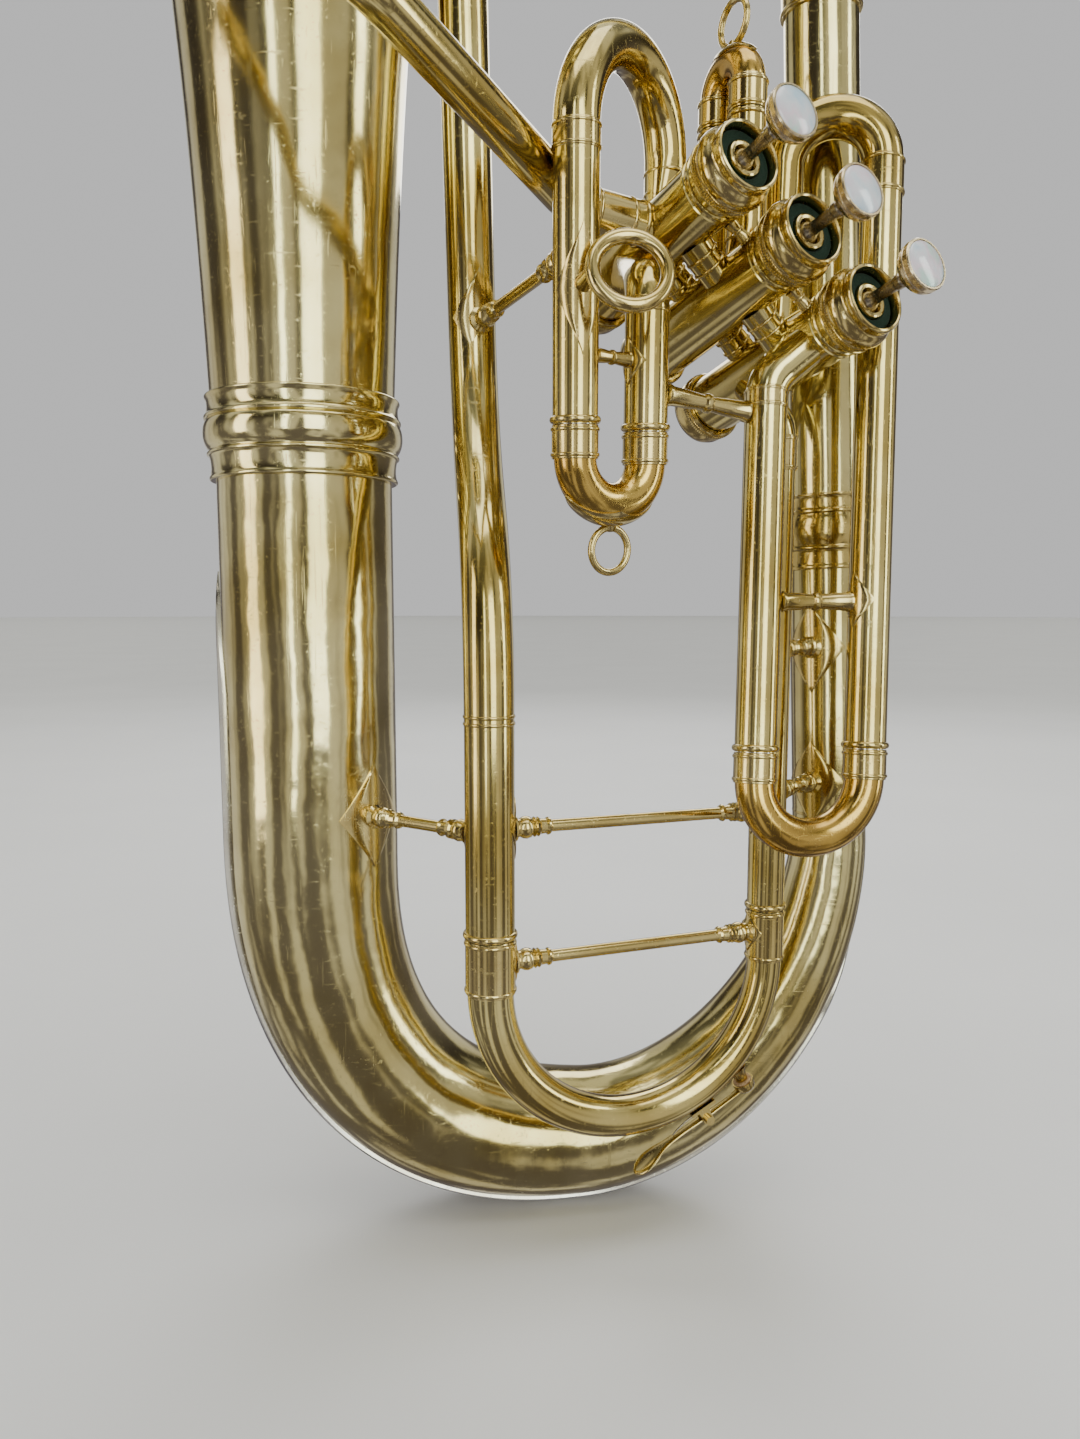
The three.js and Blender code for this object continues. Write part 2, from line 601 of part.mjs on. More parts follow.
const leadCorners = [onValve(1, 50), ...LEADPIPE.corners.map((xyz) => point(...xyz))];
const leadRoute = roundedRoute(leadCorners, 40, 3);
piece("leadpipe", cut(tube(leadRoute, LEADPIPE.radius), casingSpace(1)), brass(GOLD));
const leadEnd = leadCorners.at(-1);
const leadAway = leadEnd.clone().sub(leadCorners.at(-2)).normalize();
const receiverProfile = [
  [6.4, GAP],
  [8.2, GAP],
  [8.2, 3],
  [9.2, 5],
  [9.2, 30],
  [10, 31],
  [10, 35],
  [6.4, 35],
  [6.4, GAP],
];
piece("mouthpiece_receiver", stand(lathe(receiverProfile, 14), leadEnd, leadAway), brass(GOLD));
const mouthpieceProfile = [
  [3.2, 10],
  [5.6, 10],
  [6, 36],
  [6, 45],
  [8.5, 52],
  [13, 60],
  [15.5, 68],
  [18.5, 72],
  [19, 75],
  [17.5, 77],
  [14.5, 77],
  [12.8, 74],
  [11, 66],
  [6, 58],
  [3.2, 54],
  [3.2, 10],
];
piece("mouthpiece", stand(lathe(mouthpieceProfile, 12), leadEnd, leadAway), brass(0xd8d8d2, 0.15));

// ---- Water key, on the outer side of the main bow ----

const mainMiddle = leftMouth.clone().add(rightMouth).multiplyScalar(0.5);
mainMiddle.z -= MAIN_SLIDE.ferrule;
const mainArm = MAIN_SIDE.clone().normalize();
const mainBend = MAIN_SIDE.length() / 2;
const KEY = { turn: 0.47, lift: 5.5, barrel: 1.9, width: 4, nippleAt: 22 };
const keyNormal = mainArm.clone().cross(Z_AXIS);
const keyOut = DOWN.clone().applyAxisAngle(keyNormal, KEY.turn);
const keyAlong = mainArm.clone().applyAxisAngle(keyNormal, KEY.turn);
const keyBase = mainMiddle.clone().addScaledVector(keyOut, mainBend + MAIN.rightRadius + 1 + KEY.lift);
const waterKey = new THREE.Group();
waterKey.matrix.makeBasis(keyAlong, keyOut, keyAlong.clone().cross(keyOut)).setPosition(keyBase);
waterKey.matrix.decompose(waterKey.position, waterKey.quaternion, waterKey.scale);
group.add(waterKey);

// A box between two corners, in the key's own frame: along the bow, outwards, and across.
function block([x0, y0, z0], [x1, y1, z1]) {
  const box = new THREE.BoxGeometry(x1 - x0, y1 - y0, z1 - z0);
  return box.translate((x0 + x1) / 2, (y0 + y1) / 2, (z0 + z1) / 2);
}
const post = (x, y0, y1, radius, sides = 10) =>
  new THREE.CylinderGeometry(radius, radius, y1 - y0, sides).translate(x, (y0 + y1) / 2, 0);
const barrel = new THREE.CylinderGeometry(KEY.barrel, KEY.barrel, KEY.width, 10).rotateX(Math.PI / 2);
const keyArm = block([-30, -0.8, -1.5], [KEY.nippleAt, 0.8, 1.5]);
const keyPad = new THREE.CylinderGeometry(5.5, 5.5, 1.4, 12).scale(1.5, 1, 1).translate(-31, 1.2, 0);
const keyCup = post(KEY.nippleAt, -2.6, 0.4, 4.4, 12);
piece("water_key_lever", join(barrel, keyArm, keyPad, keyCup), brass(GOLD), waterKey);
const cork = new THREE.MeshStandardMaterial({ color: 0xc8a878, roughness: 0.9, metalness: 0 });
piece("water_key_cork", post(KEY.nippleAt, -4.4, -2.6 - GAP, 3.8, 12), cork, waterKey);
const ears = [-1, 1].map((way) => {
  const near = KEY.width / 2 + GAP;
  return block([-2.2, -4.2, way > 0 ? near : -near - 1.2], [2.2, 1.8, way > 0 ? near + 1.2 : -near]);
});
const saddleBase = block([-4, -4.6, -3.5], [4, -3.4, 3.5]);
piece("water_key_saddle", join(saddleBase, ...ears), brass(GOLD), waterKey);
const keySpring = rod([point(-3, -2.6, 0), point(-9, -3.2, 0), point(-15, -1.4, 0)], 0.45, 5);
piece("water_key_spring", keySpring, brass(0x9c9c98, 0.35), waterKey);
const keyNipple = post(KEY.nippleAt, -12.5, -4.4 - GAP, 2.8, 12);
waterKey.updateMatrix();
keyNipple.applyMatrix4(waterKey.matrix);
const slideParts = [mainBow, mainBrace(MAIN_SLIDE.braceZ, 1), keyNipple];
piece("main_slide_bow", join(...slideParts), brass(GOLD));

// ---- Fixed braces ----

const onFirst = (leg, z) => [onLeg(leg, firstUp, z), SLIDE_RADIUS];
const onThird = (leg, z) => [onLeg(leg, thirdUp, z), SLIDE_RADIUS];
const bellSide = [point(BELL.x, BELL.y, 187), BOW.bellRadius];
const mainSide = [point(...MAIN.left, 187), MAIN.leftRadius];
const branchSide = [point(-44.5, -8, 392), LEFT.headRadius];
const BRACES = {
  bell_brace: [...bellSide, ...mainSide],
  branch_brace: [...branchSide, ...onFirst(firstLeft, 400)],
  slide_brace: [...onFirst(firstRight, 356), ...onThird(thirdLeft, 350)],
  first_slide_brace: [...onFirst(firstLeft, 366), ...onFirst(firstRight, 366)],
  third_slide_brace: [...onThird(thirdLeft, 277), ...onThird(thirdRight, 277)],
};
for (const [name, ends] of Object.entries(BRACES)) {
  piece(name, braceBetween(...ends), brass(GOLD));
}

export default group;
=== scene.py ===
"""A tenor tuba with three front-action piston valves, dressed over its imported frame.

Lengths are millimetres in the row's frame until a mesh is made, and MM turns them into metres there.
"""

import math

import bmesh
import bpy
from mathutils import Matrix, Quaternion, Vector


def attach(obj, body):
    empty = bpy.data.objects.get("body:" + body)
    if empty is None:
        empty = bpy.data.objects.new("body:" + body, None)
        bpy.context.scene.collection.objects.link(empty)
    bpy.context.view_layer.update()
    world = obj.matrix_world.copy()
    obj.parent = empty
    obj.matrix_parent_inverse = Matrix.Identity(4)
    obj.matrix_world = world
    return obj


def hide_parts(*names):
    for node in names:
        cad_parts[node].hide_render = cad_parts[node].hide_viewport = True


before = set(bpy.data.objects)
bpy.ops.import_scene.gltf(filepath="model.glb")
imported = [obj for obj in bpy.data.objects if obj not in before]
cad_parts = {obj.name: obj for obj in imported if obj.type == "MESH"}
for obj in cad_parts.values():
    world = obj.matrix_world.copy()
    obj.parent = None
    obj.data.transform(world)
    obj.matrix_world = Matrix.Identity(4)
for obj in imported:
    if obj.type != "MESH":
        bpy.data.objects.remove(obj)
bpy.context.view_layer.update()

MM = 0.001
Z_AXIS = Vector((0, 0, 1))
DOWN = Vector((0, 0, -1))

# The horn's lengths, the same as the solids have
BELL = Vector((-115, -12, 0))
BELL_BOTTOM, BELL_TOP, BELL_RIM = 345.4, 680, 125
BOW_TOP, BOW_BOTTOM = 172, 30.9
BOW_WIDE, BOW_NARROW = 36.5, 16.5
RIGHT_FOOT, RIGHT_HEAD = Vector((120, 13, 175.2)), Vector((105, 13, 540))
LEFT_HEAD, LEFT_KNEE = Vector((-47, -8, 540)), Vector((-43, -8, 356))
LEFT_FOOT = Vector((-34.5, -68, 278))
MAIN_LEFT, MAIN_RIGHT = Vector((-34.5, -68, 0)), Vector((82, -28, 0))
MAIN_RADII = LEFT_LEG, RIGHT_LEG = 9.7, 7.8
MAIN_MOUTH_Z, MAIN_LEG_TOP_Z, MAIN_FERRULE = 146, 230.5, 22
VALVE_CENTRE = Vector((85.3, -67.1, 412.6))
VALVE_AXIS = Vector((0.48, -0.8415, 0.2468)).normalized()
VALVE_SPACING = 35
CASING_RADIUS = 13
SLIDE_RADIUS, SECOND_RADIUS = 8.3, 7.4
SLIDE_RADII = (SLIDE_RADIUS, SLIDE_RADIUS)
SLIDE_FERRULE = 12
TUBE_WALL = 0.95
FIRST = (Vector((-2.2, -76, 341)), Vector((25, -59, 341)))
FIRST_UP = Vector((-0.002, -0.09, 1)).normalized()
SECOND = (Vector((66.5, -31, 467.5)), Vector((57.5, -13, 467.5)))
THIRD = (Vector((70.2, -57, 218)), Vector((116.3, -47.5, 218)))
THIRD_UP = Vector((0.03, 0.113, 0.993)).normalized()
LEAD_CORNERS = [Vector((-2, -53, 425)), Vector((-75, -163, 457)), Vector((-205, -120, 520))]

VALVE_ROW = Vector((0.737, 0.237, -0.631))
ROW_AXIS = (VALVE_ROW - VALVE_AXIS * VALVE_ROW.dot(VALVE_AXIS)).normalized()
SIDE_AXIS = VALVE_AXIS.cross(ROW_AXIS)

# A tube's end stops this far from a valve's centre line, and is shaped to a circle in the wall
PORT_STOP = 9.5
PORT_CIRCLE = 12.6

# The two tubes between neighbouring casings: depth on each valve, radius, and shift to the side
PORTS = ((40, 45, 6.4, -4), (66, 71, 6.2, 5))


# ---- Shells: lists of points and faces ----


def skin(rings, closed):
    """A surface through rings of equal count, closed on itself or capped at both ends."""
    count = len(rings[0])
    points = [p for ring in rings for p in ring]
    faces = []
    for a in range(len(rings) if closed else len(rings) - 1):
        b = (a + 1) % len(rings)
        for k in range(count):
            n = (k + 1) % count
            faces.append((a * count + k, a * count + n, b * count + n, b * count + k))
    if not closed:
        faces.append(tuple(reversed(range(count))))
        faces.append(tuple(range(len(points) - count, len(points))))
    return points, faces


def slab(inner, outer):
    """A closed plate between two grids of points with the same rows and columns."""
    rings = [list(i) + list(reversed(o)) for i, o in zip(inner, outer)]
    return skin(rings, False)


def frames_along(route, side=None):
    """A point, a direction and two cross directions at each station, carried along without twist."""
    across = side or Vector((0.31, 0.87, 0.22))
    result = []
    for i, here in enumerate(route):
        back = (here - route[max(i - 1, 0)]).normalized()
        ahead = (route[min(i + 1, len(route) - 1)] - here).normalized()
        tangent = (back + ahead).normalized()
        across = (across - tangent * across.dot(tangent)).normalized()
        result.append((here, tangent, across, tangent.cross(across)))
    return result


def lengths_along(route):
    """The length of the route up to each of its points."""
    lengths = [0.0]
    for a, b in zip(route, route[1:]):
        lengths.append(lengths[-1] + (b - a).length)
    return lengths


def value(size, share):
    """A size that is a number, or a function of the share of the length."""
    return size(share) if callable(size) else size


def sweep(route, outer, bore=None, sides=40, side=None, flat=1.0):
    """A tube or a bar along a route. Radii are numbers or functions of the share of the length."""
    lengths = lengths_along(route)
    stations = frames_along(route, side)

    def ring(i, size):
        here, _, across, up = stations[i]
        radius = value(size, lengths[i] / lengths[-1])
        high = radius * value(flat, lengths[i] / lengths[-1])
        turns = (2 * math.pi * k / sides for k in range(sides))
        return [here + across * radius * math.cos(t) + up * high * math.sin(t) for t in turns]

    rings = [ring(i, outer) for i in range(len(route))]
    if bore is None:
        return skin(rings, False)
    return skin(rings + [ring(i, bore) for i in reversed(range(len(route)))], True)


def lathe(profile, foot, direction, sides=64):
    """A turned shell. A profile that ends where it starts is a ring, and any other is capped."""
    turn = Z_AXIS.rotation_difference(direction.normalized())
    closed = profile[0] == profile[-1]
    rings = []
    for radius, z in profile[:-1] if closed else profile:
        ring = []
        for k in range(sides):
            angle = 2 * math.pi * k / sides
            ring.append(foot + turn @ Vector((radius * math.cos(angle), radius * math.sin(angle), z)))
        rings.append(ring)
    return skin(rings, closed)


def torus(centre, normal, radius, wire, sides=72, section=20):
    """A ring of round wire."""
    profile = []
    for k in range(section + 1):
        turn = 2 * math.pi * (k % section) / section
        profile.append((radius + wire * math.cos(turn), wire * math.sin(turn)))
    return lathe(profile, centre, normal, sides)


def knurl(foot, direction, radius, low, high, teeth=90, depth=0.35):
    """A band of fine straight ridges."""
    turn = Z_AXIS.rotation_difference(direction.normalized())
    rings = []
    profile = ((low, -0.8), (low, 0), (low + 0.4, 0.3), (high - 0.4, 0.3), (high, 0), (high, -0.8))
    for z, rise in profile:
        ring = []
        for k in range(2 * teeth):
            angle = math.pi * k / teeth
            reach = radius + rise - (depth if k % 2 else 0)
            ring.append(foot + turn @ Vector((reach * math.cos(angle), reach * math.sin(angle), z)))
        rings.append(ring)
    return skin(rings, False)


def bead(place, radius, width=1.6, rise=0.7, sides=48):
    """A raised ring round a tube; place is a point on its centre line and a direction."""
    foot, direction = place
    profile = [(radius - 0.25, -width / 2)]
    for k in range(9):
        turn = math.pi * k / 8
        profile.append((radius - 0.05 + rise * math.sin(turn), -width / 2 * math.cos(turn)))
    profile += [(radius - 0.25, width / 2), (radius - 0.25, -width / 2)]
    return lathe(profile, foot, direction, sides)


def sleeve(foot, direction, radius, length, thick=0.6, rise=0.6, width=1.5, sides=48):
    """A plain ferrule with a bead near each end."""
    direction = direction.normalized()
    outer = radius + thick
    profile = [
        (radius - 0.3, 0),
        (outer - 0.2, 0),
        (outer, 0.3),
        (outer, length - 0.3),
        (outer - 0.2, length),
        (radius - 0.3, length),
        (radius - 0.3, 0),
    ]
    shells = [lathe(profile, foot, direction, sides)]
    for z in (width, length - width):
        shells.append(bead((foot + direction * z, direction), outer, width, rise, sides))
    return shells


def rounded_route(corners, radius, steps=14):
    """Straight runs with each inner corner rounded to an arc."""
    route = [corners[0]]
    for before, corner, after in zip(corners, corners[1:], corners[2:]):
        back = (before - corner).normalized()
        ahead = (after - corner).normalized()
        half = back.angle(ahead) / 2
        centre = corner + (back + ahead).normalized() * (radius / math.sin(half))
        start = corner + back * (radius / math.tan(half)) - centre
        axis = -back.cross(ahead).normalized()
        for k in range(steps + 1):
            route.append(centre + Quaternion(axis, (math.pi - 2 * half) * k / steps) @ start)
    return route + [corners[-1]]


def bow_route(start, end, bulge, depth, steps=48, fullness=(2, 2)):
    """An arch between two points. Fullness 2 is an ellipse, and more is squarer."""
    middle, arm = (start + end) / 2, (start - end) / 2
    route = []
    for k in range(steps + 1):
        turn = math.pi * k / steps
        power = 2 / fullness[0 if 2 * k <= steps else 1]
        reach = math.copysign(abs(math.cos(turn)) ** power, math.cos(turn))
        route.append(middle + arm * reach + bulge * depth * abs(math.sin(turn)) ** power)
    return route


def at_z(point, direction, z):
    """The point at height z on the line through a point, with the line's direction."""
    return point + direction * ((z - point.z) / direction.z), direction


def diamond(place, outward, radius, height, width, thick=0.8, rows=24, columns=10):
    """A rhombic plate wrapped on a tube."""
    centre, axis = place
    axis = axis.normalized()
    outward = (outward - axis * outward.dot(axis)).normalized()
    across = axis.cross(outward)
    inner, outer = [], []
    for i in range(rows + 1):
        share = 2 * i / rows - 1
        spread = max(width / 2 * (1 - abs(share)) ** 1.08, 0.05) / radius
        lines = ([], [])
        for k in range(columns + 1):
            turn = spread * (2 * k / columns - 1)
            edge = 0.35 if k in (0, columns) or i in (0, rows) else 0
            around = outward * math.cos(turn) + across * math.sin(turn)
            along = centre + axis * share * height / 2
            lines[0].append(along + around * (radius - 0.2))
            lines[1].append(along + around * (radius + thick - edge))
        inner.append(lines[0])
        outer.append(lines[1])
    return slab(inner, outer)


# The turned end of a long brace and half of a short one, as radius and distance from the tube's wall
LONG_END = (
    (4.6, 0), (4.5, 0.9), (3.2, 1.8), (3.1, 2.6), (3.7, 4), (3.9, 5.4), (3.5, 7), (2.8, 7.8),
    (3.5, 8.6), (2.9, 9.4), (3.4, 10.2), (2.7, 11), (2.5, 13.4), (3.1, 14.2), (2.9, 15),
    (2.1, 15.8),
)
LONG_REACH = 16
WAIST_END = (
    (3.0, 0), (3.7, 0.5), (3.6, 1.4), (3.2, 2.2), (2.9, 8), (2.5, 12.2), (2.5, 12.8), (3.1, 13.4),
    (3.2, 14),
)


def turned(start, end, shape=LONG_END, size=1.16):
    """A turned brace between two points; both its ends have the same profile."""
    length = (end - start).length
    if shape is WAIST_END:
        scale = (length / 2 - 0.3) / shape[-1][1]
    else:
        scale = min(1, 0.42 * length / LONG_REACH)
    half = [(radius * size, z * scale) for radius, z in shape]
    profile = half + [(radius, length - z) for radius, z in reversed(half)]
    return lathe(profile, start, end - start, 32)


def between(first, first_radius, second, second_radius):
    """The ends of a brace that starts and stops on two tubes' walls."""
    along = (second - first).normalized()
    return first + along * (first_radius - 0.2), second - along * (second_radius - 0.2)


def smooth(points, steps=6):
    """A curve through the points, as a finer list."""
    result = []
    last = len(points) - 1
    for i in range(last):
        a, b, c, d = (points[min(max(i + k, 0), last)] for k in (-1, 0, 1, 2))
        for k in range(steps):
            t = k / steps
            mixed = []
            for p, q, r, s in zip(a, b, c, d):
                bend = (2 * p - 5 * q + 4 * r - s) * t * t + (3 * q - p - 3 * r + s) * t**3
                mixed.append(0.5 * (2 * q + (r - p) * t + bend))
            result.append(tuple(mixed))
    return result + [tuple(points[last])]


# ---- Materials ----


class Nodes:
    """Short calls that add nodes to a shader tree."""

    def __init__(self, tree, coordinates):
        self.tree = tree
        self.place = tree.nodes.new("ShaderNodeTexCoord").outputs[coordinates]

    def add(self, kind, sockets=None, **settings):
        """A node with its settings; each socket is set to a value or linked to another node's."""
        node = self.tree.nodes.new(kind)
        for key, setting in settings.items():
            setattr(node, key, setting)
        for socket, source in (sockets or {}).items():
            if isinstance(source, (int, float, tuple)):
                node.inputs[socket].default_value = source
            else:
                self.tree.links.new(source, node.inputs[socket])
        return node

    def stretched(self, scale, turn=(0, 0, 0)):
        """Coordinates scaled and turned."""
        sockets = {"Vector": self.place, "Scale": scale, "Rotation": turn}
        return self.add("ShaderNodeMapping", sockets).outputs["Vector"]

    def noise(self, scale, detail=4.0, rough=0.55, vector=None):
        """Noise from 0 to 1."""
        sockets = {"Vector": vector or self.place, "Scale": scale, "Detail": detail, "Roughness": rough}
        return self.add("ShaderNodeTexNoise", sockets).outputs["Fac"]

    def ramp(self, factor, *stops):
        """A colour ramp; each stop is a position and a colour or a grey."""
        node = self.add("ShaderNodeValToRGB", {"Fac": factor})
        elements = node.color_ramp.elements
        while len(elements) < len(stops):
            elements.new(0.5)
        for element, (position, color) in zip(elements, stops):
            element.position = position
            element.color = color if isinstance(color, tuple) else (color, color, color, 1)
        return node.outputs["Color"]

    def mix(self, factor, first, second, blend="MIX"):
        """Two colours mixed by a factor."""
        sockets = {0: factor, 6: first, 7: second}
        return self.add("ShaderNodeMix", sockets, data_type="RGBA", blend_type=blend).outputs[2]

    def math(self, operation, first, second):
        """Two numbers put together."""
        return self.add("ShaderNodeMath", {0: first, 1: second}, operation=operation).outputs[0]


class Finish(Nodes):
    """A material with a Principled shader."""

    def __init__(self, name, **inputs):
        self.material = bpy.data.materials.new(name)
        self.material.use_nodes = True
        super().__init__(self.material.node_tree, "Object")
        self.shader = self.tree.nodes["Principled BSDF"]
        for key, setting in inputs.items():
            self.shader.inputs[key.replace("_", " ")].default_value = setting

    def bump(self, height, distance, strength=1.0, normal=None):
        """A normal bent by a height, on top of another normal if there is one."""
        sockets = {"Height": height, "Strength": strength, "Distance": distance}
        if normal:
            sockets["Normal"] = normal
        return self.add("ShaderNodeBump", sockets).outputs["Normal"]

    def join(self, **sockets):
        """The finished material, with its shader's sockets linked."""
        for key, source in sockets.items():
            self.tree.links.new(source, self.shader.inputs[key.replace("_", " ")])
        return self.material


# The stretched noises that make fine scratches: scale and turn
SCRATCHES = (
    ((900, 900, 18), (0.2, 0.1, 0)),
    ((16, 700, 700), (0.5, 0.3, 0.7)),
    ((700, 20, 700), (0, 0.6, 0.3)),
)


def polished(name, deep, bright, stain, rough=0.09, waves=0.0, wear=0.5):
    """Polished and lacquered metal: slow tone shifts, tarnish specks, fine scratches and soft dents."""
    m = Finish(name, Metallic=1.0, Coat_Weight=0.25, Coat_Roughness=0.06)
    tone = m.noise(16, 3)
    color = m.mix(m.ramp(tone, (0.36, 0.0), (0.64, 1.0)), (*deep, 1), (*bright, 1))
    specks = m.ramp(m.noise(420, 8, 0.7), (0.60, 0.0), (0.70, wear))
    blotches = m.ramp(m.noise(55, 6, 0.62), (0.55, 0.0), (0.72, wear))
    dirt = m.math("MAXIMUM", m.math("MULTIPLY", specks, blotches), m.math("MULTIPLY", blotches, 0.35))
    color = m.mix(dirt, color, (*stain, 1))
    lines = []
    for scale, turn in SCRATCHES:
        lines.append(m.ramp(m.noise(1, 2, 0.5, m.stretched(scale, turn)), (0.66, 0.0), (0.70, 1.0)))
    scratches = m.math("MAXIMUM", m.math("MAXIMUM", lines[0], lines[1]), lines[2])
    roughness = m.math("ADD", rough, m.math("MULTIPLY", m.noise(90, 5), 0.07))
    roughness = m.math("ADD", roughness, m.math("MULTIPLY", dirt, 0.3))
    roughness = m.math("ADD", roughness, m.math("MULTIPLY", scratches, 0.12))
    normal = m.bump(scratches, 0.00002, 0.35)
    if waves:
        ripples = m.math("ADD", m.noise(24, 2, 0.4), m.math("MULTIPLY", m.noise(85, 2, 0.4), 0.12))
        normal = m.bump(ripples, waves, 0.75, normal)
    return m.join(Base_Color=color, Roughness=roughness, Normal=normal)


GOLD = dict(deep=(0.47, 0.34, 0.09), bright=(0.72, 0.60, 0.24), stain=(0.17, 0.09, 0.03))
TRIM = dict(deep=(0.46, 0.33, 0.09), bright=(0.70, 0.56, 0.23), stain=(0.16, 0.09, 0.03))
PALE = dict(deep=(0.46, 0.36, 0.12), bright=(0.72, 0.62, 0.29), stain=(0.19, 0.11, 0.04))
RICH = dict(deep=(0.42, 0.25, 0.05), bright=(0.68, 0.46, 0.11), stain=(0.16, 0.08, 0.02))
NICKEL = dict(deep=(0.50, 0.46, 0.36), bright=(0.76, 0.73, 0.64), stain=(0.24, 0.19, 0.12))
SILVER = dict(deep=(0.74, 0.73, 0.70), bright=(0.93, 0.92, 0.90), stain=(0.35, 0.3, 0.24))
BUTTON = dict(deep=(0.54, 0.40, 0.20), bright=(0.76, 0.62, 0.38), stain=(0.3, 0.18, 0.08))
STEEL = dict(deep=(0.20, 0.17, 0.12), bright=(0.42, 0.36, 0.26), stain=(0.1, 0.07, 0.05))

brass = polished("lacquered_brass", **GOLD)
wavy_brass = polished("lacquered_brass_dented", **PALE, waves=0.0022)
bell_brass = polished("lacquered_brass_bell", **PALE, waves=0.0008)
rich_brass = polished("lacquered_brass_rich", **RICH, rough=0.13, wear=0.7)
trim_brass = polished("lacquered_brass_trim", **TRIM, rough=0.12, wear=0.8)
nickel = polished("nickel_silver", **NICKEL, rough=0.12, wear=0.7)
silver = polished("silver_plate", **SILVER, rough=0.06, wear=0.4)
champagne = polished("pale_button_brass", **BUTTON, rough=0.2)
dark_steel = polished("stem_steel", **STEEL, rough=0.2, wear=0.25)


def pearl_material():
    """Milky discs with bluish, pink and green swirls."""
    m = Finish("mother_of_pearl", Metallic=0.0, Coat_Weight=0.8, Coat_Roughness=0.03, Roughness=0.18)
    swirl = m.noise(70, 3, 0.5, m.stretched((1, 1.6, 0.8), (0.4, 0.9, 0.2)))
    blue, white = (0.52, 0.76, 0.92, 1), (0.86, 0.93, 0.98, 1)
    pink, green = (0.95, 0.80, 0.88, 1), (0.62, 0.92, 0.80, 1)
    color = m.ramp(swirl, (0.3, blue), (0.45, white), (0.55, pink), (0.68, green))
    veil = m.ramp(m.noise(420, 5, 0.6), (0.4, 0.0), (0.7, 1.0))
    color = m.mix(m.math("MULTIPLY", veil, 0.18), color, (1, 1, 1, 1))
    return m.join(Base_Color=color, Normal=m.bump(swirl, 0.0002, 0.3))


def felt_material():
    """Dark green pressed felt."""
    m = Finish("pressed_felt", Roughness=0.95, Sheen_Weight=0.12, Sheen_Roughness=0.5)
    m.shader.inputs["Specular IOR Level"].default_value = 0.15
    fibres = m.noise(2600, 6, 0.75)
    color = m.ramp(fibres, (0.35, (0.002, 0.014, 0.007, 1)), (0.65, (0.010, 0.050, 0.026, 1)))
    return m.join(Base_Color=color, Normal=m.bump(fibres, 0.0004, 0.8))


def cork_material():
    """Cork with small grains."""
    m = Finish("natural_cork", Roughness=0.85)
    grains = m.add("ShaderNodeTexVoronoi", {"Vector": m.place, "Scale": 1500.0}).outputs["Distance"]
    color = m.ramp(grains, (0.1, (0.30, 0.17, 0.08, 1)), (0.6, (0.62, 0.43, 0.24, 1)))
    return m.join(Base_Color=color, Normal=m.bump(grains, 0.0003, 0.7))


def floor_material():
    """A pale floor with a faint grain."""
    m = Finish("pale_floor", Roughness=0.55)
    color = m.ramp(m.noise(3, 4), (0.35, (0.80, 0.80, 0.79, 1)), (0.65, (0.83, 0.83, 0.82, 1)))
    return m.join(Base_Color=color, Normal=m.bump(m.noise(60, 5), 0.0006, 0.15))


pearl, felt, cork = pearl_material(), felt_material(), cork_material()


# ---- Pieces ----


SHARP_ANGLE = 32


def piece(name, shells, material, stands_for=(), body="horn"):
    """An object made of shells, which moves with a body and may stand for CAD nodes."""
    points, faces = [], []
    for shell_points, shell_faces in shells:
        start = len(points)
        points += [p * MM for p in shell_points]
        faces += [tuple(start + i for i in face) for face in shell_faces]
    mesh = bpy.data.meshes.new(name)
    mesh.from_pydata(points, [], faces)
    work = bmesh.new()
    work.from_mesh(mesh)
    bmesh.ops.recalc_face_normals(work, faces=work.faces)
    work.to_mesh(mesh)
    work.free()
    mesh.shade_smooth()
    mesh.set_sharp_from_angle(angle=math.radians(SHARP_ANGLE))
    mesh.materials.append(material)
    made = bpy.data.objects.new(name, mesh)
    bpy.context.scene.collection.objects.link(made)
    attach(made, body)
    if stands_for:
        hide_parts(*stands_for)
    return made


# ---- Bell and bottom bow ----


def horn_radius(z):
    """The bell's outer radius at a height."""
    return BELL_RIM * (10 / (10 + BELL_TOP - z)) ** 0.34


def make_bell():
    """The flare, with a rolled rim."""
    outer, inner = [], []
    for k in range(97):
        depth = 0.7 + (BELL_TOP - BELL_BOTTOM - 0.7) * (1 - k / 96) ** 2.4
        z = BELL_TOP - depth
        slope = horn_radius(z + 0.05) - horn_radius(z - 0.05)
        tilt = math.hypot(0.1, slope)
        outer.append((horn_radius(z), z))
        inner.append((horn_radius(z) - 0.7 * 0.1 / tilt, z + 0.7 * slope / tilt))
    profile = outer + inner[::-1] + outer[:1]
    shells = [lathe(profile, BELL, Z_AXIS, 144), torus(BELL + Z_AXIS * 678, Z_AXIS, 122.9, 1.95, 144)]
    piece("bell_flare", shells, bell_brass, ["bell"])


BOW_SIDE = Vector((0, 1, 0))
bow_start, bow_end = BELL + Z_AXIS * BOW_TOP, Vector((120, 13, BOW_TOP))
bow_arc = bow_route(bow_start, bow_end, DOWN, BOW_TOP - BOW_BOTTOM, 96, (2.4, 1.9))
bow_lengths = lengths_along(bow_arc)


def bow_radius(share):
    """The bottom bow's outer radius along its arc."""
    return BOW_WIDE - (BOW_WIDE - BOW_NARROW) * min(max(share, 0), 1) ** 1.3


